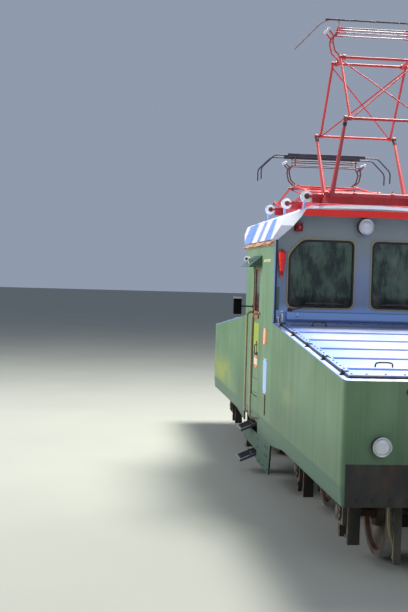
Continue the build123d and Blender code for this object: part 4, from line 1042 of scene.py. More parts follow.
class LOCO_OT_hood_ends(bpy.types.Operator):
    """Fit the access doors, grab rails, drawgear bolts and air taps of both ends"""

    bl_idname = "loco.hood_ends"
    bl_label = "Hood ends"

    def execute(self, context):
        low, high, half = RAIL + 0.78, RAIL + 1.60, 0.44

        def door(bm):
            add_box(bm, (END, -half, low), (END + 0.010, half, high))
            for z in (low + 0.07, high - 0.07):
                add_box(bm, (END + 0.008, -half + 0.06, z - 0.012), (END + 0.016, half - 0.06, z + 0.012))
            add_box(bm, (END + 0.008, -0.012, low + 0.07), (END + 0.016, 0.012, high - 0.07))

        def ironwork(bm):
            for z in (low + 0.15, high - 0.15):
                pin = END + 0.012
                add_rod(bm, (pin, half + 0.012, z - 0.045), (pin, half + 0.012, z + 0.045), 0.011)
                add_box(bm, (END + 0.002, half - 0.10, z - 0.022), (END + 0.013, half + 0.012, z + 0.022))
                add_box(bm, (END + 0.001, half + 0.012, z - 0.022), (END + 0.008, half + 0.06, z + 0.022))
            for z in (low + 0.22, high - 0.22):
                add_turned(bm, (END + 0.008, -half + 0.06, z), FORWARD, mm(24, 0, 24, 10, 14, 16), 20)
                add_box(bm, (END + 0.02, -half + 0.05, z - 0.045), (END + 0.03, -half + 0.07, z + 0.02))
            bends = ((END - 0.002, -0.52), (END + 0.06, -0.52), (END + 0.06, 0.52), (END - 0.002, 0.52))
            add_tube(bm, [(x, y, high + 0.05) for x, y in bends], 0.011)
            for y in (-0.52, 0.52):
                add_turned(bm, (END, y, high + 0.05), FORWARD, mm(28, 0, 28, 6, 20, 8), 16)

        def taps(bm):
            for y in (-0.46, 0.46):
                z = COUPLER_Z - 0.02
                bend = [(END - 0.03, y, z), (END + 0.10, y, z), (END + 0.15, y, z - 0.07)]
                add_tube(bm, bend, 0.017, 12)
                add_turned(bm, (END, y, z), FORWARD, mm(36, 0, 36, 12, 24, 14), 20)
                add_turned(bm, (END + 0.055, y, z), FORWARD, mm(20, 0, 28, 10, 28, 45, 20, 55), 16)
                add_rod(bm, (END + 0.08, y, z), (END + 0.08, y, z + 0.045), 0.008)
                add_box(bm, (END + 0.072, y - 0.006, z + 0.04), (END + 0.15, y + 0.006, z + 0.047))
                add_turned(bm, (END + 0.142, y, z - 0.06), (0.58, 0, -0.82), mm(24, 0, 24, 30, 16, 40), 16)

        piece_of("end_doors", door, "body", ends=True, bevel=0.002)
        piece_of("end_ironwork", ironwork, "dark_fitting", ends=True)
        piece_of("air_taps", taps, "brass", ends=True)
        rows = both_sides([((END + 0.04, 0.115, COUPLER_Z + z), FORWARD) for z in (-0.085, 0.0, 0.085)])
        rows += row_of((END, -0.95, BODY_BOTTOM + 0.06), (END, 0.95, BODY_BOTTOM + 0.06), 14, FORWARD)
        bolted("end_bolts", both_ends(rows), "frame", sizes().bolt * 1.25)
        return {"FINISHED"}


def add_plate(bm, x0, x1, z0, z1, thick=0.004, y=SIDE):
    """Upright plate on the body's side or the door's face, with rounded corners."""
    add_prism(bm, panel_outline(x0, x1, z0, z1, 0.012), y, y + thick, SIDEWAYS)


PLATES = (      # name, finish and span in X and Z
    ("striped_plates", "striped", (-0.72, -0.43, 1.79, 1.99)),
    ("blue_plates", "sky_plate", (-0.80, -0.55, 1.18, 1.62)),
    ("yellow_strips", "yellow_strip", (-0.89, -0.35, 2.825, 2.858)),
)


class LOCO_OT_side_plates(bpy.types.Operator):
    """Screw the blank plates, strips, conduits and handrail feet on both cab sides"""

    bl_idname = "loco.side_plates"
    bl_label = "Side plates"

    def execute(self, context):
        lean = 0.02 / (CREASE - BODY_BOTTOM)
        foot_places = [(x, SIDE - lean * max(0.0, CREASE - z), z) for x in HANDRAIL_X for z in HANDRAIL_Z]

        def conduit(bm):
            add_rod(bm, (-0.74, SIDE + 0.006, 0.915), (-0.74, SIDE + 0.006, 1.18), 0.006)
            for z in (0.96, 1.12):
                add_box(bm, (-0.765, SIDE - 0.001, z - 0.008), (-0.715, SIDE + 0.014, z + 0.008))

        def feet(bm):
            for x, y, z in foot_places:
                add_box(bm, (x - 0.042, y - 0.002, z - 0.022), (x + 0.042, y + 0.006, z + 0.022))
                add_turned(bm, (x, y + 0.004, z), OUT, mm(21, 0, 21, 14, 16, 18), 16)

        for name, finish, span in PLATES:
            piece_of(name, lambda bm: add_plate(bm, *span), finish, ends=True, bevel=0.001)
        piece_of("side_conduits", conduit, "rust", ends=True, bevel=0.001)
        screws = [((x, SIDE + 0.004, z), OUT) for x in (-0.705, -0.445) for z in (1.805, 1.975)]
        screws += [((x, SIDE + 0.004, z), OUT) for x in (-0.785, -0.565) for z in (1.20, 1.60)]
        screws += [((x, SIDE + 0.004, 2.8415), OUT) for x in (-0.87, -0.62, -0.37)]
        bolted("plate_screws", both_ends(screws), "dark_fitting", 0.006, sides=12)
        rows = []
        for x, y, z in foot_places:
            rows += [((x + dx, y + 0.006, z), OUT) for dx in (-0.026, 0.026)]
        bolted("rail_foot_bolts", both_ends(rows), "dark_fitting", 0.008)
        piece_of("rail_feet", feet, "rail", ends=True, bevel=0.0015)
        return {"FINISHED"}


DOORS = ("door_left", "door_right")


class LOCO_OT_doors(bpy.types.Operator):
    """Trim both doors: panel, window bead, sill board, blank plate, lock, kick plate and seals"""

    bl_idname = "loco.doors"
    bl_label = "Doors"

    def execute(self, context):
        y = DOOR_FACE

        def bead(bm):
            points = [(x, y - 0.001, z) for x, z in panel_outline(*WINDOW_X, *WINDOW_Z, 0.03)]
            add_tube(bm, points, 0.009, 8, closed=True, normal=OUT)

        def panel(bm):
            add_plate(bm, -0.062, 0.338, 1.645, 2.026, 0.005, y)

        def sill(bm):
            add_box(bm, (WINDOW_X[0] - 0.012, y - 0.002, WINDOW_Z[0] - 0.028),
                    (WINDOW_X[1] + 0.012, y + 0.026, WINDOW_Z[0] + 0.014))
            add_box(bm, (WINDOW_X[0] + 0.01, y - 0.002, WINDOW_Z[0] + 0.012),
                    (WINDOW_X[1] - 0.01, y + 0.012, WINDOW_Z[0] + 0.062))

        def seals(bm):
            for x0, x1 in ((DOOR_X[0], DOOR_X[0] + 0.014), (DOOR_X[1] - 0.014, DOOR_X[1])):
                add_box(bm, (x0, y - 0.002, RAIL + 1.04), (x1, y + 0.004, RAIL + 2.78))

        def lock(bm):
            add_plate(bm, 0.02, 0.10, 1.60, 1.76, 0.006, y)
            add_turned(bm, (0.06, y + 0.004, 1.775), OUT, mm(16, 0, 16, 8, 9, 12), 20)
            for z in (1.618, 1.743):
                add_turned(bm, (0.06, y + 0.004, z), OUT, mm(17, 0, 17, 7, 11, 10), 16)

        def plate(bm):
            add_plate(bm, 0.02, 0.27, 1.43, 1.59, 0.004, y)

        def kick_plate(bm):
            add_plate(bm, -0.06, 0.385, 1.09, 1.30, 0.003, y)

        pair_of("door_window_bead", bead, "wood", DOORS)
        pair_of("door_panel", panel, "sunlit", DOORS, bevel=0.0015)
        pair_of("door_sill", sill, "wood", DOORS, bevel=0.004)
        pair_of("door_lock", lock, "dark_fitting", DOORS, bevel=0.001)
        pair_of("door_plate", plate, "bordered", DOORS, bevel=0.001)
        pair_of("door_kick_plate", kick_plate, "door", DOORS, bevel=0.001)
        pair_of("door_seals", seals, "black_rubber", DOORS, bevel=0.001)
        rows = [((x, y + 0.004, z), OUT) for x in (0.034, 0.256) for z in (1.445, 1.575)]
        rows += [((-0.045 + 0.104 * i, y + 0.003, z), OUT) for i in range(5) for z in (1.105, 1.285)]
        for body, places in zip(DOORS, (rows, moved_places(rows, TURNED))):
            bolted(f"door_screws_{body}", places, "dark_fitting", 0.006, body, 12)
        return {"FINISHED"}


WINDOW_OUTLINE = [(y, RAIL + z) for y, z in (
    (0.110, 2.250), (0.920, 2.250), (0.920, 2.890), (0.755, 3.075), (0.110, 3.075))]


class LOCO_OT_cab_walls(bpy.types.Operator):
    """Fit the gaskets, wipers, pipe cocks, strips, ledge trim and flag case bands of both end walls"""

    bl_idname = "loco.cab_walls"
    bl_label = "Cab end walls"

    def execute(self, context):
        x = WALL

        def gasket(bm):
            middle = Vector((0.515, RAIL + 2.66))
            inner = [middle + (Vector(p) - middle) * 0.972 for p in WINDOW_OUTLINE]
            points = [(x + 0.002, y, z) for y, z in rounded(inner, 0.075, 6)]
            add_tube(bm, points, 0.014, 8, closed=True, normal=FORWARD)

        def bosses(bm):
            add_turned(bm, (LEDGE_END, 0.80, 2.185), FORWARD, mm(20, 0, 20, 12, 12, 20, 12, 32), 16)
            add_box(bm, (LEDGE_END, 0.792, 2.165), (LEDGE_END + 0.006, 0.808, 2.222))

        def wiper(bm):
            pivot = Vector((x + 0.012, 0.885, RAIL + 2.215))
            add_turned(bm, (x - 0.002, pivot.y, pivot.z), FORWARD, mm(30, 0, 30, 12, 18, 20, 18, 30), 20)
            tip = Vector((x + 0.026, 0.46, RAIL + 2.305))
            bend = pivot.lerp(tip, 0.45) + Vector((0.014, 0, 0.01))
            add_tube(bm, [pivot + Vector((0.012, 0, 0)), bend, tip], 0.006, 8)
            add_box(bm, (x + 0.011, 0.24, RAIL + 2.296), (x + 0.022, 0.70, RAIL + 2.308))
            add_box(bm, (x + 0.018, 0.30, RAIL + 2.300), (x + 0.026, 0.64, RAIL + 2.316))

        def cocks(bm):
            z = RAIL + 2.06
            pipes = ((-0.985, 0.05, 0.12, -0.10, 0.013), (-1.03, 0.035, 0.05, -0.08, 0.009))
            for y, reach, top, foot, radius in pipes:
                bends = ((-0.005, top), (reach, top), (reach, foot))
                add_tube(bm, [(x + dx, y, z + dz) for dx, dz in bends], radius)
            add_turned(bm, (x + 0.05, -0.985, z - 0.05), UP, mm(14, 0, 25, 12, 25, 50, 14, 62), 16)
            add_turned(bm, (x + 0.05, -0.985, z - 0.02), FORWARD, mm(12, 0, 12, 45, 20, 50, 20, 56), 16)
            for y, reach in ((-0.985, 0.12), (-1.03, 0.05)):
                add_turned(bm, (x, y, z + reach), FORWARD, mm(26, 0, 26, 6, 16, 12), 16)

        def levers(bm):
            z = RAIL + 2.06
            add_box(bm, (x + 0.096, -1.03, z - 0.028), (x + 0.102, -0.97, z - 0.012))
            add_turned(bm, (x + 0.05, -0.985, z - 0.115), UP, mm(22, 0, 22, 20), 6)

        def strips(bm):
            add_box(bm, (x - 0.001, -1.054, 2.24), (x + 0.004, -1.018, 2.52))

        def trim(bm):
            z0, z1 = LEDGE_Z
            add_box(bm, (LEDGE_END - 0.004, -0.925, z0 - 0.010), (LEDGE_END + 0.006, 0.925, z0 + 0.008))
            add_box(bm, (x - 0.001, -0.915, z1 - 0.002), (LEDGE_END + 0.005, 0.915, z1 + 0.003))

        def flag_bands(bm):
            centre = (x + 0.041, -SIDE + 0.095)
            for low, high, radius in ((2.685, 2.742, 0.029), (2.746, 2.812, 0.037), (2.817, 2.908, 0.044)):
                add_turned(bm, (*centre, RAIL + low), UP, [
                    (radius * 0.6, -0.004), (radius - 0.003, 0.0), (radius, 0.006),
                    (radius + 0.001, high - low - 0.004), (radius - 0.004, high - low)], 28)
            add_turned(bm, (*centre, RAIL + 2.608), UP, mm(8, 0, 17, 4, 17, 22, 14, 26), 20)

        piece_of("window_gaskets", gasket, "black_rubber", across=True, ends=True)
        piece_of("wipers", wiper, "dark_fitting", across=True, ends=True)
        piece_of("wiper_bosses", bosses, "stand", across=True, ends=True, bevel=0.001)
        piece_of("flag_bands", flag_bands, "flag", ends=True)
        piece_of("wall_cocks", cocks, "silver", ends=True)
        piece_of("cock_levers", levers, "brass", ends=True)
        piece_of("wall_strips", strips, "awning", ends=True, bevel=0.001)
        piece_of("ledge_trim", trim, "ledge", ends=True, bevel=0.002)
        z = LEDGE_Z[0] + 0.045
        rows = row_of((LEDGE_END, -0.88, z), (LEDGE_END, 0.88, z), 12, FORWARD)
        rows += both_sides(row_of((x, 0.985, RAIL + 1.30), (x, 0.985, RAIL + 2.0), 5, FORWARD))
        bolted("wall_bolts", both_ends(rows), "wall", sizes().bolt * 0.8)
        return {"FINISHED"}


def roof_height(y):
    """Height of the roof's outside at a distance from the middle."""
    (y0, z0), (y1, z1), (y2, z2) = ROOF_PROFILE
    if y > y1:
        return z1 + (z0 - z1) * (y - y1) / (y0 - y1)
    if y > y2:
        return z2 + (z1 - z2) * (y - y2) / (y1 - y2)
    return CROWN - CROWN_RADIUS + math.sqrt(CROWN_RADIUS ** 2 - y * y)


def roof_point(t, lift=0.0):
    """Point over the roof's left half, share t of the way from eave to crown, and the way out of it."""
    line = [Vector((0, y, z)) for y, z in ROOF_PROFILE]
    for k in range(1, 9):
        y = ROOF_PROFILE[2][0] * (1 - k / 8)
        line.append(Vector((0, y, roof_height(y))))
    place = t * (len(line) - 1)
    i = min(int(place), len(line) - 2)
    along = (line[i + 1] - line[i]).normalized()
    out = Vector((0, along.z, -along.y))
    return line[i].lerp(line[i + 1], place - i) + out * lift, out


class LOCO_OT_roof(bpy.types.Operator):
    """Lap and rivet the roof sheets and clip the eave strips"""

    bl_idname = "loco.roof"
    bl_label = "Roof sheets"

    def execute(self, context):
        def laps(bm):
            for x in LAPS_X:
                rings = [roof_point(i / 10) for i in range(11)]
                path = rings + [(ACROSS @ p, ACROSS.to_3x3() @ o) for p, o in reversed(rings[:-1])]
                strip = ((-0.03, -0.001), (-0.03, 0.0035), (0.03, 0.0035), (0.03, -0.001))
                rows = [[bm.verts.new(p + o * h + FORWARD * (x + dx)) for dx, h in strip] for p, o in path]
                for a, b in zip(rows, rows[1:]):
                    for k in range(4):
                        m = (k + 1) % 4
                        bm.faces.new([a[k], a[m], b[m], b[k]])
                bm.faces.new(rows[0])
                bm.faces.new(rows[-1])

        def gutter_clips(bm):
            z = RAIL + 3.0
            for x in (-1.0, -0.5, 0.0, 0.5, 1.0):
                add_box(bm, (x - 0.012, SIDE + 0.004, z - 0.004), (x + 0.012, SIDE + 0.0575, z + 0.004))

        piece_of("roof_laps", laps, "roof", smooth=False)
        rivets = []
        for x in LAPS_X:
            for i in range(1, 11):
                point, out = roof_point(i / 10, 0.0035)
                rivets.append((point + FORWARD * x, out))
        eave, out = roof_point(0.045)
        rivets += [(eave + FORWARD * (-1.05 + 0.15 * i), out) for i in range(15)]
        bolted("roof_rivets", both_sides(rivets), "roof", sizes().bolt * 0.65, sides=10)
        piece_of("gutter_clips", gutter_clips, "drip", across=True, bevel=0.001)
        return {"FINISHED"}


class LOCO_OT_insulators(bpy.types.Operator):
    """Ribbed porcelain rings with iron hubs on riveted stands, in place of the plain ones"""

    bl_idname = "loco.insulators"
    bl_label = "Roof insulators"

    def execute(self, context):
        count = sizes().sheds

        def shell(bm):
            profile = mm(30, -52, 46, -50, 50, -34)
            pitch = 0.060 / count
            for i in range(count):
                middle = -0.030 + pitch * (i + 0.5)
                profile += [(0.052, middle - pitch * 0.45), (0.066, middle - pitch * 0.22), (0.068, middle),
                            (0.064, middle + pitch * 0.24), (0.052, middle + pitch * 0.45)]
            profile += [(0.050, 0.034), (0.046, 0.050), (0.030, 0.052)]
            add_turned(bm, (0, 0, 0), UP, profile, 36)

        def hub(bm):
            profile = mm(12, -62, 30, -60, 34, -50, 31, -46, 31, 46, 34, 50, 30, 60, 12, 62)
            add_turned(bm, (0, 0, 0), UP, profile)
            for z in (-0.072, 0.060):
                add_turned(bm, (0, 0, z), UP, mm(16, 0, 16, 12), 6)

        def stands(bm):
            for x in CROSS_X:
                y = INSULATOR_Y + 0.022
                base, top = roof_height(y), INSULATOR_Z - 0.046
                add_box(bm, (x - 0.022, y - 0.012, base - 0.002), (x + 0.022, y + 0.012, top))
                slope = math.atan2(roof_height(y + 0.05) - roof_height(y - 0.05), 0.1)
                flat = Matrix.Translation((x, y, base)) @ Matrix.Rotation(slope, 4, "X")
                add_box(bm, (-0.045, -0.05, -0.001), (0.045, 0.06, 0.007), flat)
                for dx in (-0.03, 0.03):
                    add_turned(bm, flat @ Vector((dx, 0.04, 0.006)), flat.to_3x3() @ UP, mm(9, 0, 9, 6), 6)

        places = both_sides([((x, INSULATOR_Y, INSULATOR_Z), FORWARD, UP) for x in CROSS_X])
        rings = stamped("insulator_rings", places, shell, "porcelain")
        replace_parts(rings, "roof_insulators")
        stamped("insulator_hubs", places, hub, "hub")
        piece_of("insulator_stands", stands, "stand", across=True, bevel=0.0015)
        return {"FINISHED"}


def knee_of(end):
    """(X, Z) of the outer knee from the pantograph's middle, with the mast as it stands."""
    turn = math.radians(PAN_TILT[end])
    return PAN_PIVOT + PAN_ARM * math.cos(turn), PAN_BASE + PAN_ARM * math.sin(turn)


def top_of(end):
    return PAN_BASE + 2 * PAN_ARM * math.sin(math.radians(PAN_TILT[end]))


class LOCO_OT_pantographs(bpy.types.Operator):
    """Springs, clamps and collars of both pantographs, with their heads' knobs and wear strips"""

    bl_idname = "loco.pantographs"
    bl_label = "Pantographs"

    def execute(self, context):
        z = PAN_BASE + 0.034
        places = [((0.20 * way, y, z), FORWARD * way) for way in (1, -1) for y in (-SPRING_Y, SPRING_Y)]
        coiled("raising_springs", places, "spring", "body", 0.026, 0.0055, 0.52, 26)

        def anchors(bm):
            for s in (-1, 1):
                for y in (-SPRING_Y, SPRING_Y):
                    for start, end, cup in ((0.045, 0.205, 0.190), (0.715, 0.985, 0.70)):
                        add_rod(bm, (s * start, y, z), (s * end, y, z), 0.008)
                        add_turned(bm, (s * cup, y, z), FORWARD * s, mm(12, 0, 28, 6, 28, 18, 12, 26), 18)
                    add_box(bm, (s * 0.03 - 0.018, y - 0.02, PAN_BASE - 0.002),
                            (s * 0.03 + 0.018, y + 0.02, z + 0.014))
                    add_turned(bm, (s * 0.15, y, z), FORWARD * s, mm(13, 0, 13, 18), 6)

        piece_of("spring_anchors", anchors, "pan_base", bevel=0.0015)
        rows = [((x, y, PAN_BASE + 0.005), UP) for x in CROSS_X for y in (-0.52, -0.30, 0.30, 0.52)]
        rows += [((x + pivot, s * 0.588, PAN_BASE), OUT * s)
                 for x in (-PAN_X, PAN_X) for pivot in (-PAN_PIVOT, PAN_PIVOT) for s in (-1, 1)]
        bolted("base_bolts", rows, "pan_dark", 0.013)
        about = Matrix.Translation((PAN_X, 0, 0))

        for end, rear in (("front", False), ("rear", True)):
            knee_x, knee_z = knee_of(end)
            top = top_of(end)
            course = Vector((knee_x - PAN_PIVOT, 0, knee_z - PAN_BASE)).normalized()

            def collars(bm):
                share = 0.935     # along the arm, from the shaft to the knee
                for y in (-PAN_Y, PAN_Y):
                    middle = Vector((PAN_X + PAN_PIVOT, y, PAN_BASE)) + course * PAN_ARM * share
                    wide = 0.031 - 0.0135 * share
                    clamp = [(wide - 0.002, 0), (wide + 0.005, 0.002), (wide + 0.005, 0.046),
                             (wide - 0.002, 0.048)]
                    add_turned(bm, middle - course * 0.024, course, clamp, 20)
                    for s in (-1, 1):
                        knee = (PAN_X + knee_x, y + s * 0.016, knee_z)
                        add_turned(bm, knee, OUT * s, mm(30, 0, 30, 4, 24, 6), 20)

            def levers(bm):
                shaft = Vector((PAN_X + PAN_PIVOT, 0, PAN_BASE))
                upright = Matrix.Translation(shaft) @ SIDEWAYS
                for y in (-SPRING_Y, SPRING_Y):
                    add_turned(bm, shaft + OUT * (y - 0.02), OUT, mm(23, 0, 32, 2, 32, 38, 23, 40), 20)
                    add_prism(bm, mm(-12, 20, 12, 20, 8, 52, -8, 52), y - 0.006, y + 0.006, upright)

            for half in ("outer", "inner"):
                for name, build, finish in (("arm_collars", collars, "pan_dark"),
                                            ("shaft_levers", levers, "pan_base")):
                    bm = bmesh.new()
                    build(bm)
                    if half == "inner":
                        bm.transform(about @ TURNED @ about.inverted())
                    if rear:
                        bm.transform(TURNED)
                    finished(from_bmesh(f"{name}_{end}_{half}", bm, True), PAINTS[finish],
                             f"pan_{end}_lower_{half}")

            def knobs(bm):
                for side in (-1, 1):
                    for x in (-POST_X, POST_X):
                        tip = (PAN_X + x, side * (YOKE_Y + 0.172), top + 0.345)
                        add_turned(bm, tip, UP, mm(0, -22, 14, -18, 21, -4, 21, 8, 14, 19, 0, 23), 20)

            def pads(bm):
                strips = ((0.0, 0.60, 0.483),)
                if end == "front":
                    strips = ((-0.15, 0.56, 0.455), (0.15, 0.56, 0.455))
                for x, half_length, height in strips:
                    low = height if end == "front" else height - 0.012
                    for k in range(4):
                        y0 = -half_length + k * half_length / 2
                        add_box(bm, (PAN_X + x - 0.017, y0 + 0.003, top + low - 0.002),
                                (PAN_X + x + 0.017, y0 + half_length / 2 - 0.003, top + low + 0.012))

            body = f"pan_{end}_head"
            piece_of(f"post_knobs_{end}", knobs, "knob", body, turned=rear)
            piece_of(f"wear_strips_{end}", pads, "carbon", body, turned=rear, bevel=0.002)
            places = []
            for side in (-1, 1):
                outer = Vector((PAN_X, side * (YOKE_Y + 0.009), top))
                inner = Vector((PAN_X, side * (YOKE_Y - 0.016), top))
                places += [(outer + FORWARD * x, OUT * side) for x in (-POST_X, POST_X)]
                places += [(inner + FORWARD * x, OUT * -side) for x in (-PAN_PIVOT, PAN_PIVOT)]
            places = moved_places(places, TURNED if rear else Matrix())
            bolted(f"yoke_bolts_{end}", places, "pan_dark", 0.012, body)
        return {"FINISHED"}


BOGIES = ("bogie_front", "bogie_rear")


class LOCO_OT_bogies(bpy.types.Operator):
    """Axlebox covers, bolts and springs, brake rods and sand pipes of both bogies"""

    bl_idname = "loco.bogies"
    bl_label = "Bogies"

    def execute(self, context):
        face = AXLEBOX_FACE + 0.018
        covers, springs, ties = [], [], []
        for x in AXLES.values():
            turns = [math.pi * k / 3 for k in range(6)]
            covers += [((x + 0.072 * math.cos(a), face, AXLE_Z + 0.072 * math.sin(a)), OUT) for a in turns]
            springs += [((x + dx, 0.765, AXLE_Z + 0.108), UP) for dx in (-0.062, 0.062)]
            ties += [((x + dx, 0.800, 0.187), OUT) for dx in (-0.155, 0.155)]
            ties += [((x + dx, 0.840, z), OUT) for dx in (-0.152, 0.152) for z in (0.25, 0.36, 0.47)]
        ties += [((x, 0.800, 0.685), OUT) for x in (1.42, 2.1, 2.3, 2.55, 2.8, 3.05, 3.3, 3.5, 4.18)]
        for body, matrix in zip(BOGIES, (Matrix(), TURNED)):
            bolted(f"axlebox_bolts_{body}", moved_places(both_sides(covers), matrix), "bogie", 0.013, body)
            bolted(f"frame_bolts_{body}", moved_places(both_sides(ties), matrix), "bogie", 0.014, body)
            coils = moved_places(both_sides(springs), matrix)
            coiled(f"box_springs_{body}", coils, "bogie", body, 0.047, 0.008, 0.056, 3)

        def caps(bm):
            for x in AXLES.values():
                add_turned(bm, (x, face - 0.002, AXLE_Z), OUT, mm(44, 0, 44, 10, 34, 16))
                add_turned(bm, (x + 0.1, AXLEBOX_FACE - 0.002, AXLE_Z + 0.085), OUT, mm(10, 0, 10, 12), 6)

        def rods(bm):
            y, z = BRAKE_ROD
            ends = (AXLES["inner"] + 0.47, AXLES["outer"] - 0.47)
            add_rod(bm, (ends[0], y, z), (ends[1], y, z), 0.013)
            for x in ends:
                add_rod(bm, (x, y - 0.070, z + 0.035), (x, y + 0.015, z), 0.016)
                add_turned(bm, (x, y - 0.018, z), OUT, mm(26, 0, 26, 36), 16)
            add_turned(bm, (2.72, y, z), FORWARD, mm(13, 0, 21, 20, 21, 140, 13, 160), 16)

        def pipes(bm):
            for axle, way in ((AXLES["outer"], 1), (AXLES["inner"], -1)):
                top = axle + way * 0.50
                bends = ((0.50, 0.56, 0.70), (0.50, 0.56, 0.42), (0.475, 0.490, 0.24), (0.44, 0.485, 0.115))
                add_tube(bm, [(axle + way * reach, y, z) for reach, y, z in bends], 0.014)
                add_box(bm, (top - 0.02, 0.54, 0.62), (top + 0.02, 0.585, 0.66))

        pair_of("axlebox_caps", caps, "bogie", BOGIES, across=True)
        pair_of("brake_rods", rods, "brake", BOGIES, across=True)
        pair_of("sand_pipes", pipes, "khaki", BOGIES, across=True)
        return {"FINISHED"}


class LOCO_OT_steps(bpy.types.Operator):
    """Ribbed rubber mats and bright rims of the step treads, and bolts along the skirts"""

    bl_idname = "loco.steps"
    bl_label = "Steps and skirts"

    def execute(self, context):
        slope = math.atan(TREAD_RISE)
        start, end = SIDE - PANEL - 0.117, TREAD_REACH - 0.027

        def mats(bm):
            for tip in TREAD_TIPS:
                for i in range(9):
                    x = 0.275 + 0.040 * i
                    for y0, y1 in ((start, start + 0.12), (start + 0.13, end)):
                        low = tip + (TREAD_REACH - y0) * TREAD_RISE - 0.024
                        lie = Matrix.Translation((x, y0, low)) @ Matrix.Rotation(-slope, 4, "X")
                        add_box(bm, (-0.008, 0.0, 0.0), (0.008, (y1 - y0) / math.cos(slope), 0.012), lie)

        def rims(bm):
            reach = TREAD_REACH - 0.003
            for tip in TREAD_TIPS:
                add_rod(bm, (0.25, reach, tip), (0.62, reach, tip), 0.005, 8)
                for x in (0.254, 0.616):
                    add_rod(bm, (x, reach, tip), (x, reach - 0.13, tip + 0.13 * TREAD_RISE), 0.005, 8)
                low = (0.254, reach - 0.004, tip - 0.034)
                add_rod(bm, low, (0.254, reach - 0.12, tip + 0.018), 0.004, 8)

        piece_of("tread_ribs", mats, "black_rubber", ends=True, bevel=0.001)
        piece_of("tread_rims", rims, "silver", ends=True)
        rows = []
        for z in (RAIL + 0.50, RAIL + 0.40):
            rows += [((x, SIDE - 0.02, z), OUT) for x in (-0.86, -0.72, -0.16)]
        rows += [((x, SIDE - 0.02, RAIL + 0.24), OUT) for x in (-0.9, -0.6, -0.3, 0.0, 0.3, 0.6, 0.9)]
        bolted("skirt_bolts", both_ends(rows), "body", sizes().bolt * 0.9)
        return {"FINISHED"}


class LOCO_OT_lamps(bpy.types.Operator):
    """Lenses, rims and brackets of all lamps, and the glasses and clamps of the mirrors with a painted
    highlight strip on their tops
    """

    bl_idname = "loco.lamps"
    bl_label = "Lamps and mirrors"

    def execute(self, context):
        y, z = HOOD_LAMP

        def lens(bm, centre, way, radius, crown):
            shape = ((1.0, 0.0), (0.8, 0.55), (0.45, 0.9), (0.0, 1.0))
            add_turned(bm, centre, way, [(radius * r, crown * h) for r, h in shape], 32)

        def lenses(bm):
            lens(bm, (WALL + 0.108, 0, LAMP_Z), FORWARD, 0.079, 0.014)
            for side in (-1, 1):
                lens(bm, (END + 0.050, side * y, z), FORWARD, 0.069, 0.012)

        def rims(bm):
            rim = mm(80, 0, 95, 0, 97, 8, 88, 14, 80, 10, 80, 0)
            add_turned(bm, (WALL + 0.112, 0, LAMP_Z), FORWARD, rim, 36)
            rim = mm(70, 0, 84, 0, 86, 7, 78, 12, 70, 8, 70, 0)
            for side in (-1, 1):
                add_turned(bm, (END + 0.054, side * y, z), FORWARD, rim, 36)

        def red(bm):
            for side in (-1, 1):
                lens(bm, (TAIL_LAMP[0], side * TAIL_LAMP[1], TAIL_LAMP[2]), FORWARD, 0.030, 0.012)

        def hoods(bm):
            for side in (-1, 1):
                centre = (TAIL_LAMP[0], side * TAIL_LAMP[1], TAIL_LAMP[2])
                add_turned(bm, centre, FORWARD, mm(30, 0, 37, 0, 37, 12, 31, 14, 30, 0), 28)
            add_box(bm, (WALL - 0.001, -0.035, LAMP_Z - 0.02), (WALL + 0.03, 0.035, LAMP_Z + 0.13))

        def brackets(bm):
            for side in (-1, 1):
                y0, low, top = side * TAIL_LAMP[1], RAIL + 3.17, RAIL + 3.255
                add_box(bm, (WALL - 0.001, y0 - 0.10, top), (WALL + 0.045, y0 + 0.05, top + 0.017))
                add_box(bm, (WALL - 0.001, y0 - 0.055, low), (WALL + 0.008, y0 + 0.055, top + 0.007))

        piece_of("lamp_lenses", lenses, "lens", ends=True)
        piece_of("lamp_rims", rims, "silver", ends=True)
        piece_of("tail_lenses", red, "red_lens", ends=True)
        piece_of("tail_brackets", brackets, "shaded_lamp_red", ends=True, bevel=0.001)
        piece_of("tail_lamp_hoods", hoods, "dark_lamp", ends=True)

        way = Vector((-0.86, 0.5, 0)).normalized()
        centre = Vector((0.170, SIDE + 0.127, RAIL + 2.745 + 0.096))

        def bezel(bm):
            add_turned(bm, centre + way * 0.040, way, mm(27.5, 0, 33, 4, 34, 14, 30, 18, 22, 17.5), 28)

        def eye(bm):
            add_turned(bm, centre + way * 0.050, way, mm(24.5, 0, 22, 7.2, 12, 8.5, 0, 9))

        piece_of("spot_bezels", bezel, "white_lamp", ends=True)
        piece_of("spot_lenses", eye, "dark_lens", ends=True)

        def mirror_glass(bm):
            outline = panel_outline(SIDE + 0.162, SIDE + 0.260, RAIL + 2.101, RAIL + 2.309, 0.012)
            add_prism(bm, outline, 0.434, 0.437, ENDWAYS)

        def mirror_clamps(bm):
            x, z = 0.470, RAIL + 2.205
            add_turned(bm, (x, SIDE, z), OUT, mm(26, 0, 26, 6, 14, 12), 20)
            add_box(bm, (x - 0.020, SIDE + 0.19, z - 0.016), (x + 0.014, SIDE + 0.23, z + 0.016))

        # A pale strip on each mirror's top: painted highlight.
        def mirror_top_highlight(bm):
            add_box(bm, (0.431, SIDE + 0.158, RAIL + 2.306), (0.468, SIDE + 0.264, RAIL + 2.330))

        piece_of("mirror_glasses", mirror_glass, "mirror", ends=True)
        piece_of("mirror_clamps", mirror_clamps, "dark_fitting", ends=True, bevel=0.001)
        piece_of("mirror_tops", mirror_top_highlight, "porcelain", ends=True, bevel=0.002)
        return {"FINISHED"}


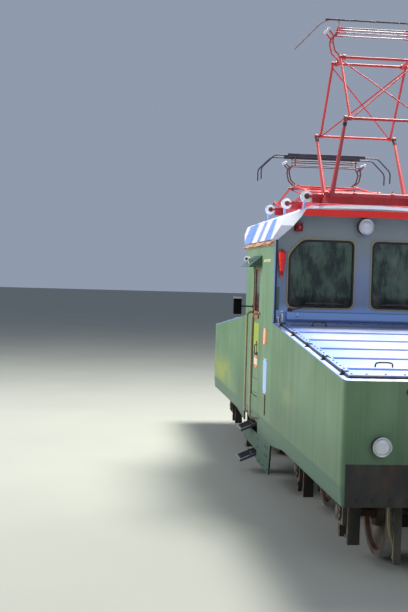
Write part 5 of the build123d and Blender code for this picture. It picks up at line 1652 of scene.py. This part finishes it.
class LOCO_OT_underframe(bpy.types.Operator):
    """Straps and drain cocks of the air tanks, and lids of the equipment box"""

    bl_idname = "loco.underframe"
    bl_label = "Underframe"

    def execute(self, context):
        y, z, radius = TANK

        def straps(bm):
            wide_bands = [(x, 0.04, 0.005) for x in (-0.671, 0.631)]
            for x, wide, thick in wide_bands + [(x, 0.03, 0.004) for x in (-0.315, 0.285)]:
                outer = radius + thick
                ring = [(radius, 0.0), (outer, 0.0), (outer, wide), (radius, wide), (radius, 0.0)]
                add_turned(bm, (x, y, z), FORWARD, ring, 40)

        def cocks(bm):
            cock = mm(22, 0, 22, 10, 12, 14, 12, 40, 18, 44, 18, 56)
            add_turned(bm, (0.0, y, z - radius + 0.004), -UP, cock, 18)
            add_box(bm, (-0.05, y - 0.005, z - radius - 0.034), (0.0, y + 0.005, z - radius - 0.028))

        def lids(bm):
            half = y - radius - 0.044
            for x in (-0.62, 0.0, 0.62):
                add_box(bm, (x - 0.27, half, 0.56), (x + 0.27, half + 0.008, 0.86))
                for dx in (-0.2, 0.2):
                    add_box(bm, (x + dx - 0.03, half + 0.006, 0.845), (x + dx + 0.03, half + 0.014, 0.875))
                    add_turned(bm, (x + dx, half + 0.006, 0.585), OUT, mm(20, 0, 20, 6, 10, 10), 16)

        piece_of("tank_straps", straps, "frame", across=True)
        piece_of("drain_cocks", cocks, "brass", across=True)
        piece_of("box_lids", lids, "frame", across=True, bevel=0.002)
        return {"FINISHED"}


SEAT_CENTRE = (-0.35, 0.48)
SEAT_TOP = 1.542            # of the seat's pad, above the floor's zero
CUSHION_STEPS = 44          # cells along each edge of a pad
PIPING_LEVEL = 0.45         # of the pad's half thickness, above its middle


def cushion_point(corner, half, crown, lines):
    """Point of a crowned pad whose sides pull in between the corners: corner lies on a cube from -1 to 1."""
    u, v, w = corner
    spread = (abs(u) ** 7 + abs(v) ** 7 + abs(w) ** 7) ** (1 / 7)
    x = u / spread * (1 - 0.05 * (1 - v * v)) * half[0]
    y = v / spread * (1 - 0.05 * (1 - u * u)) * half[1]
    z = w / spread * half[2]
    if w > 0:
        open_face = (1 - u ** 4) * (1 - v ** 4) * w
        sewn = sum(math.exp(-((x - line) / 0.007) ** 2) for line in lines)
        z += open_face * (crown - 0.012 * sewn)
    return Vector((x, y, z))


def add_cushion(bm, half, crown, lines, matrix):
    """Closed crowned pad with sewn channels across it."""
    grid = {}

    def corner_at(i, j, k):
        key = (i, j, k)
        if key not in grid:
            corner = [2 * a / CUSHION_STEPS - 1 for a in key]
            grid[key] = bm.verts.new(matrix @ cushion_point(corner, half, crown, lines))
        return grid[key]

    for axis in range(3):
        for level in (0, CUSHION_STEPS):
            for i in range(CUSHION_STEPS):
                for j in range(CUSHION_STEPS):
                    loop = []
                    for a, b in ((i, j), (i + 1, j), (i + 1, j + 1), (i, j + 1)):
                        place = [a, b]
                        place.insert(axis, level)
                        loop.append(corner_at(*place))
                    bm.faces.new(loop)


def add_piping(bm, half, crown, matrix):
    """Sewn cord round a pad's upper edge."""
    edge = [(-1 + i / 12, -1) for i in range(24)] + [(1, -1 + i / 12) for i in range(24)]
    edge += [(1 - i / 12, 1) for i in range(24)] + [(-1, 1 - i / 12) for i in range(24)]
    points = [matrix @ cushion_point((u, v, PIPING_LEVEL), half, crown, ()) for u, v in edge]
    add_tube(bm, points, 0.0045, 8, closed=True, normal=matrix.to_3x3() @ UP)


class LOCO_OT_cab_interior(bpy.types.Operator):
    """Upholster the driver's seats and fit the dials and handles of the desks"""

    bl_idname = "loco.cab_interior"
    bl_label = "Cab interior"

    def execute(self, context):
        x, y = SEAT_CENTRE
        pad_half, back_half = (0.205, 0.214, 0.034), (0.225, 0.214, 0.024)
        pad_place = Matrix.Translation((x + 0.002, y, SEAT_TOP - 0.052))
        back_place = Matrix.Translation((x - 0.187, y, 1.770)) @ Matrix(
            ((0, 0, 1, 0), (0, -1, 0, 0), (1, 0, 0, 0), (0, 0, 0, 1)))
        for name, half, crown, lines, place in (
                ("seat_pads", pad_half, 0.016, (-0.12, -0.04, 0.04, 0.12), pad_place),
                ("seat_backs", back_half, 0.014, (-0.14, -0.07, 0.0, 0.07, 0.14), back_place)):
            def cushion(bm):
                add_cushion(bm, half, crown, lines, place)

            piece_of(name, cushion, "leather", ends=True)
            piece_of(name + "_piping", lambda bm: add_piping(bm, half, crown, place), "piping", ends=True)

        def frames(bm):
            floor = 1.030
            stem = mm(148, 0, 148, 8, 60, 26, 43, 50, 43, 200, 36, 205, 36, 400, 100, 412, 100, 420)
            add_turned(bm, (x, y, floor), UP, stem, 32)
            add_box(bm, (x - 0.195, y - 0.20, 1.448), (x + 0.195, y + 0.20, 1.4555))
            add_box(bm, (x - 0.218, y - 0.20, 1.56), (x - 0.2115, y + 0.20, 1.98))
            for dy in (-0.12, 0.12):
                bar = ((-0.10, 1.452), (-0.208, 1.452), (-0.2145, 1.60), (-0.2145, 1.90))
                add_tube(bm, [(x + dx, y + dy, z) for dx, z in bar], 0.009)
            add_turned(bm, (x + 0.06, y + 0.045, 1.40), OUT, mm(6, 0, 6, 100, 12, 105, 12, 150), 12)

        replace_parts(piece_of("seat_frames", frames, "dark_fitting", ends=True, bevel=0.001), "driver_seats")

        low, high = Vector((0.60, 0.0, 1.982)), Vector((0.89, 0.0, 2.152))
        slope = math.atan2(high.z - low.z, high.x - low.x)
        desk = Matrix.Translation(low.lerp(high, 0.5)) @ Matrix.Rotation(-slope, 4, "Y")
        dials = [(0.03, y + 0.16 * i, 0.052) for i in range(-2, 3)]
        dials += [(-0.09, y + 0.14 * i, 0.03) for i in (-2, 2)]

        def rings(bm):
            for dx, dy, radius in dials:
                add_turned(bm, desk @ Vector((dx, dy, -0.001)), desk.to_3x3() @ UP, [
                    (radius, 0.0), (radius + 0.008, 0.0), (radius + 0.008, 0.012),
                    (radius + 0.002, 0.016), (radius, 0.012), (radius, 0.0)], 32)

        def faces(bm):
            for dx, dy, radius in dials:
                add_turned(bm, desk @ Vector((dx, dy, -0.001)), desk.to_3x3() @ UP, [
                    (radius, 0.0), (radius, 0.006), (radius * 0.6, 0.0075), (0.0, 0.008)], 28)

        def handles(bm):
            for dy, reach in ((-0.30, 0.10), (0.30, 0.075)):
                foot = desk @ Vector((-0.06, y + dy, 0.0))
                out = desk.to_3x3() @ UP
                add_turned(bm, foot, out, mm(40, -2, 40, 14, 22, 22, 12, 28, 12, 70, 0, 74))
                tip = foot + out * 0.062 + Vector((-reach, -0.02, 0.0))
                add_tube(bm, [foot + out * 0.060, tip, tip + out * 0.035], 0.008)
                add_turned(bm, tip + out * 0.032, out, mm(8, 0, 17, 8, 19, 20, 12, 34, 0, 37), 20)

        piece_of("dial_rings", rings, "brass", ends=True)
        piece_of("dial_faces", faces, "dark_lens", ends=True)
        piece_of("desk_handles", handles, "dark_fitting", ends=True)
        return {"FINISHED"}


class LOCO_OT_studio(bpy.types.Operator):
    """Lay the grey floor, hang the soft lights and set the camera at the photograph's place"""

    bl_idname = "loco.studio"
    bl_label = "Studio and camera"

    def execute(self, context):
        floor_sheet = Sheet("studio floor", Roughness=0.9)
        grain = floor_sheet.noise(0.4, detail=2.0)
        floor_sheet.set(Base_Color=floor_sheet.mix(grain, (0.27, 0.28, 0.25), (0.32, 0.33, 0.29)))
        bm = bmesh.new()
        bmesh.ops.create_grid(bm, x_segments=2, y_segments=2, size=150.0)
        floor = from_bmesh("studio_floor", bm)
        floor.data.materials.append(floor_sheet.material)
        context.scene.view_settings.view_transform = "Standard"
        world = bpy.data.worlds.new("studio")
        context.scene.world = world
        world.use_nodes = True
        world.node_tree.nodes["Background"].inputs[0].default_value = SKY
        world.node_tree.nodes["Background"].inputs[1].default_value = SKY_STRENGTH
        for name, place, aim, power, size, colour in LIGHTS:
            light = bpy.data.lights.new(name, "AREA")
            light.energy = power
            light.size = size
            light.color = colour
            lamp = bpy.data.objects.new(name, light)
            lamp.location = place
            lamp.rotation_euler = (Vector(aim) - Vector(place)).to_track_quat("-Z", "Y").to_euler()
            context.scene.collection.objects.link(lamp)
        camera = bpy.data.objects.new("camera", bpy.data.cameras.new("camera"))
        context.scene.collection.objects.link(camera)
        turn = Matrix((CAMERA_RIGHT, CAMERA_UP, -CAMERA_AHEAD)).transposed().to_4x4()
        camera.matrix_world = Matrix.Translation(CAMERA_PLACE) @ turn
        camera.data.sensor_width = SENSOR
        camera.data.lens = FOCAL_PIXELS / PHOTO_HEIGHT * SENSOR
        camera.data.clip_start = 0.1
        camera.data.clip_end = 500.0
        context.scene.camera = camera
        return {"FINISHED"}


CAMERA_PLACE = (-13.00809, 3.21060, 2.62366)
CAMERA_AHEAD = Vector((0.99385949, -0.10658938, -0.02969892))
CAMERA_RIGHT = Vector((-0.10576863, -0.99399756, 0.02796154))
CAMERA_UP = Vector((0.03250105, 0.02464862, 0.99916772))
FOCAL_PIXELS = 1003.2457
PHOTO_HEIGHT = 612          # pixels
SENSOR = 36.0
SKY = (0.66, 0.78, 1.0, 1.0)
SKY_STRENGTH = 0.42
LIGHTS = (      # name, place, aim, watts, size, colour
    ("sun_right", (3.0, -4.0, 16.0), (0.0, 0.0, 1.5), 7000.0, 5.0, (1.0, 0.97, 0.90)),
    ("sky_left", (4.0, 16.0, 7.0), (0.0, 0.0, 1.8), 2800.0, 12.0, (0.97, 0.98, 1.0)),
    ("sky_behind", (-15.0, -3.0, 8.0), (0.0, 0.0, 1.8), 350.0, 9.0, (0.92, 0.96, 1.0)),
)


class LOCO_PT_panel(bpy.types.Panel):
    """Locomotive tools in the sidebar"""

    bl_idname = "LOCO_PT_panel"
    bl_label = "Locomotive"
    bl_space_type = "VIEW_3D"
    bl_region_type = "UI"
    bl_category = "Locomotive"

    def draw(self, context):
        layout = self.layout
        for group in (context.scene.loco_paints, context.scene.loco_sizes):
            for name in group.__annotations__:
                layout.prop(group, name)
        for operator in OPERATORS:
            layout.operator(operator.bl_idname)


OPERATORS = (
    LOCO_OT_frame_finishes,
    LOCO_OT_hood_covers,
    LOCO_OT_hood_ends,
    LOCO_OT_side_plates,
    LOCO_OT_doors,
    LOCO_OT_cab_walls,
    LOCO_OT_roof,
    LOCO_OT_insulators,
    LOCO_OT_pantographs,
    LOCO_OT_bogies,
    LOCO_OT_steps,
    LOCO_OT_lamps,
    LOCO_OT_underframe,
    LOCO_OT_cab_interior,
    LOCO_OT_studio,
)


def register():
    for kind in (LocoPaints, LocoSizes, *OPERATORS, LOCO_PT_panel):
        bpy.utils.register_class(kind)
    bpy.types.Scene.loco_paints = PointerProperty(type=LocoPaints)
    bpy.types.Scene.loco_sizes = PointerProperty(type=LocoSizes)


def unregister():
    del bpy.types.Scene.loco_sizes
    del bpy.types.Scene.loco_paints
    for kind in (LOCO_PT_panel, *reversed(OPERATORS), LocoSizes, LocoPaints):
        bpy.utils.unregister_class(kind)


def main():
    for name in ("Cube", "Light", "Camera"):
        if name in bpy.data.objects:
            bpy.data.objects.remove(bpy.data.objects[name])
    register()
    for operator in OPERATORS:
        group, name = operator.bl_idname.split(".")
        getattr(getattr(bpy.ops, group), name)()


if __name__ == "__main__":
    main()
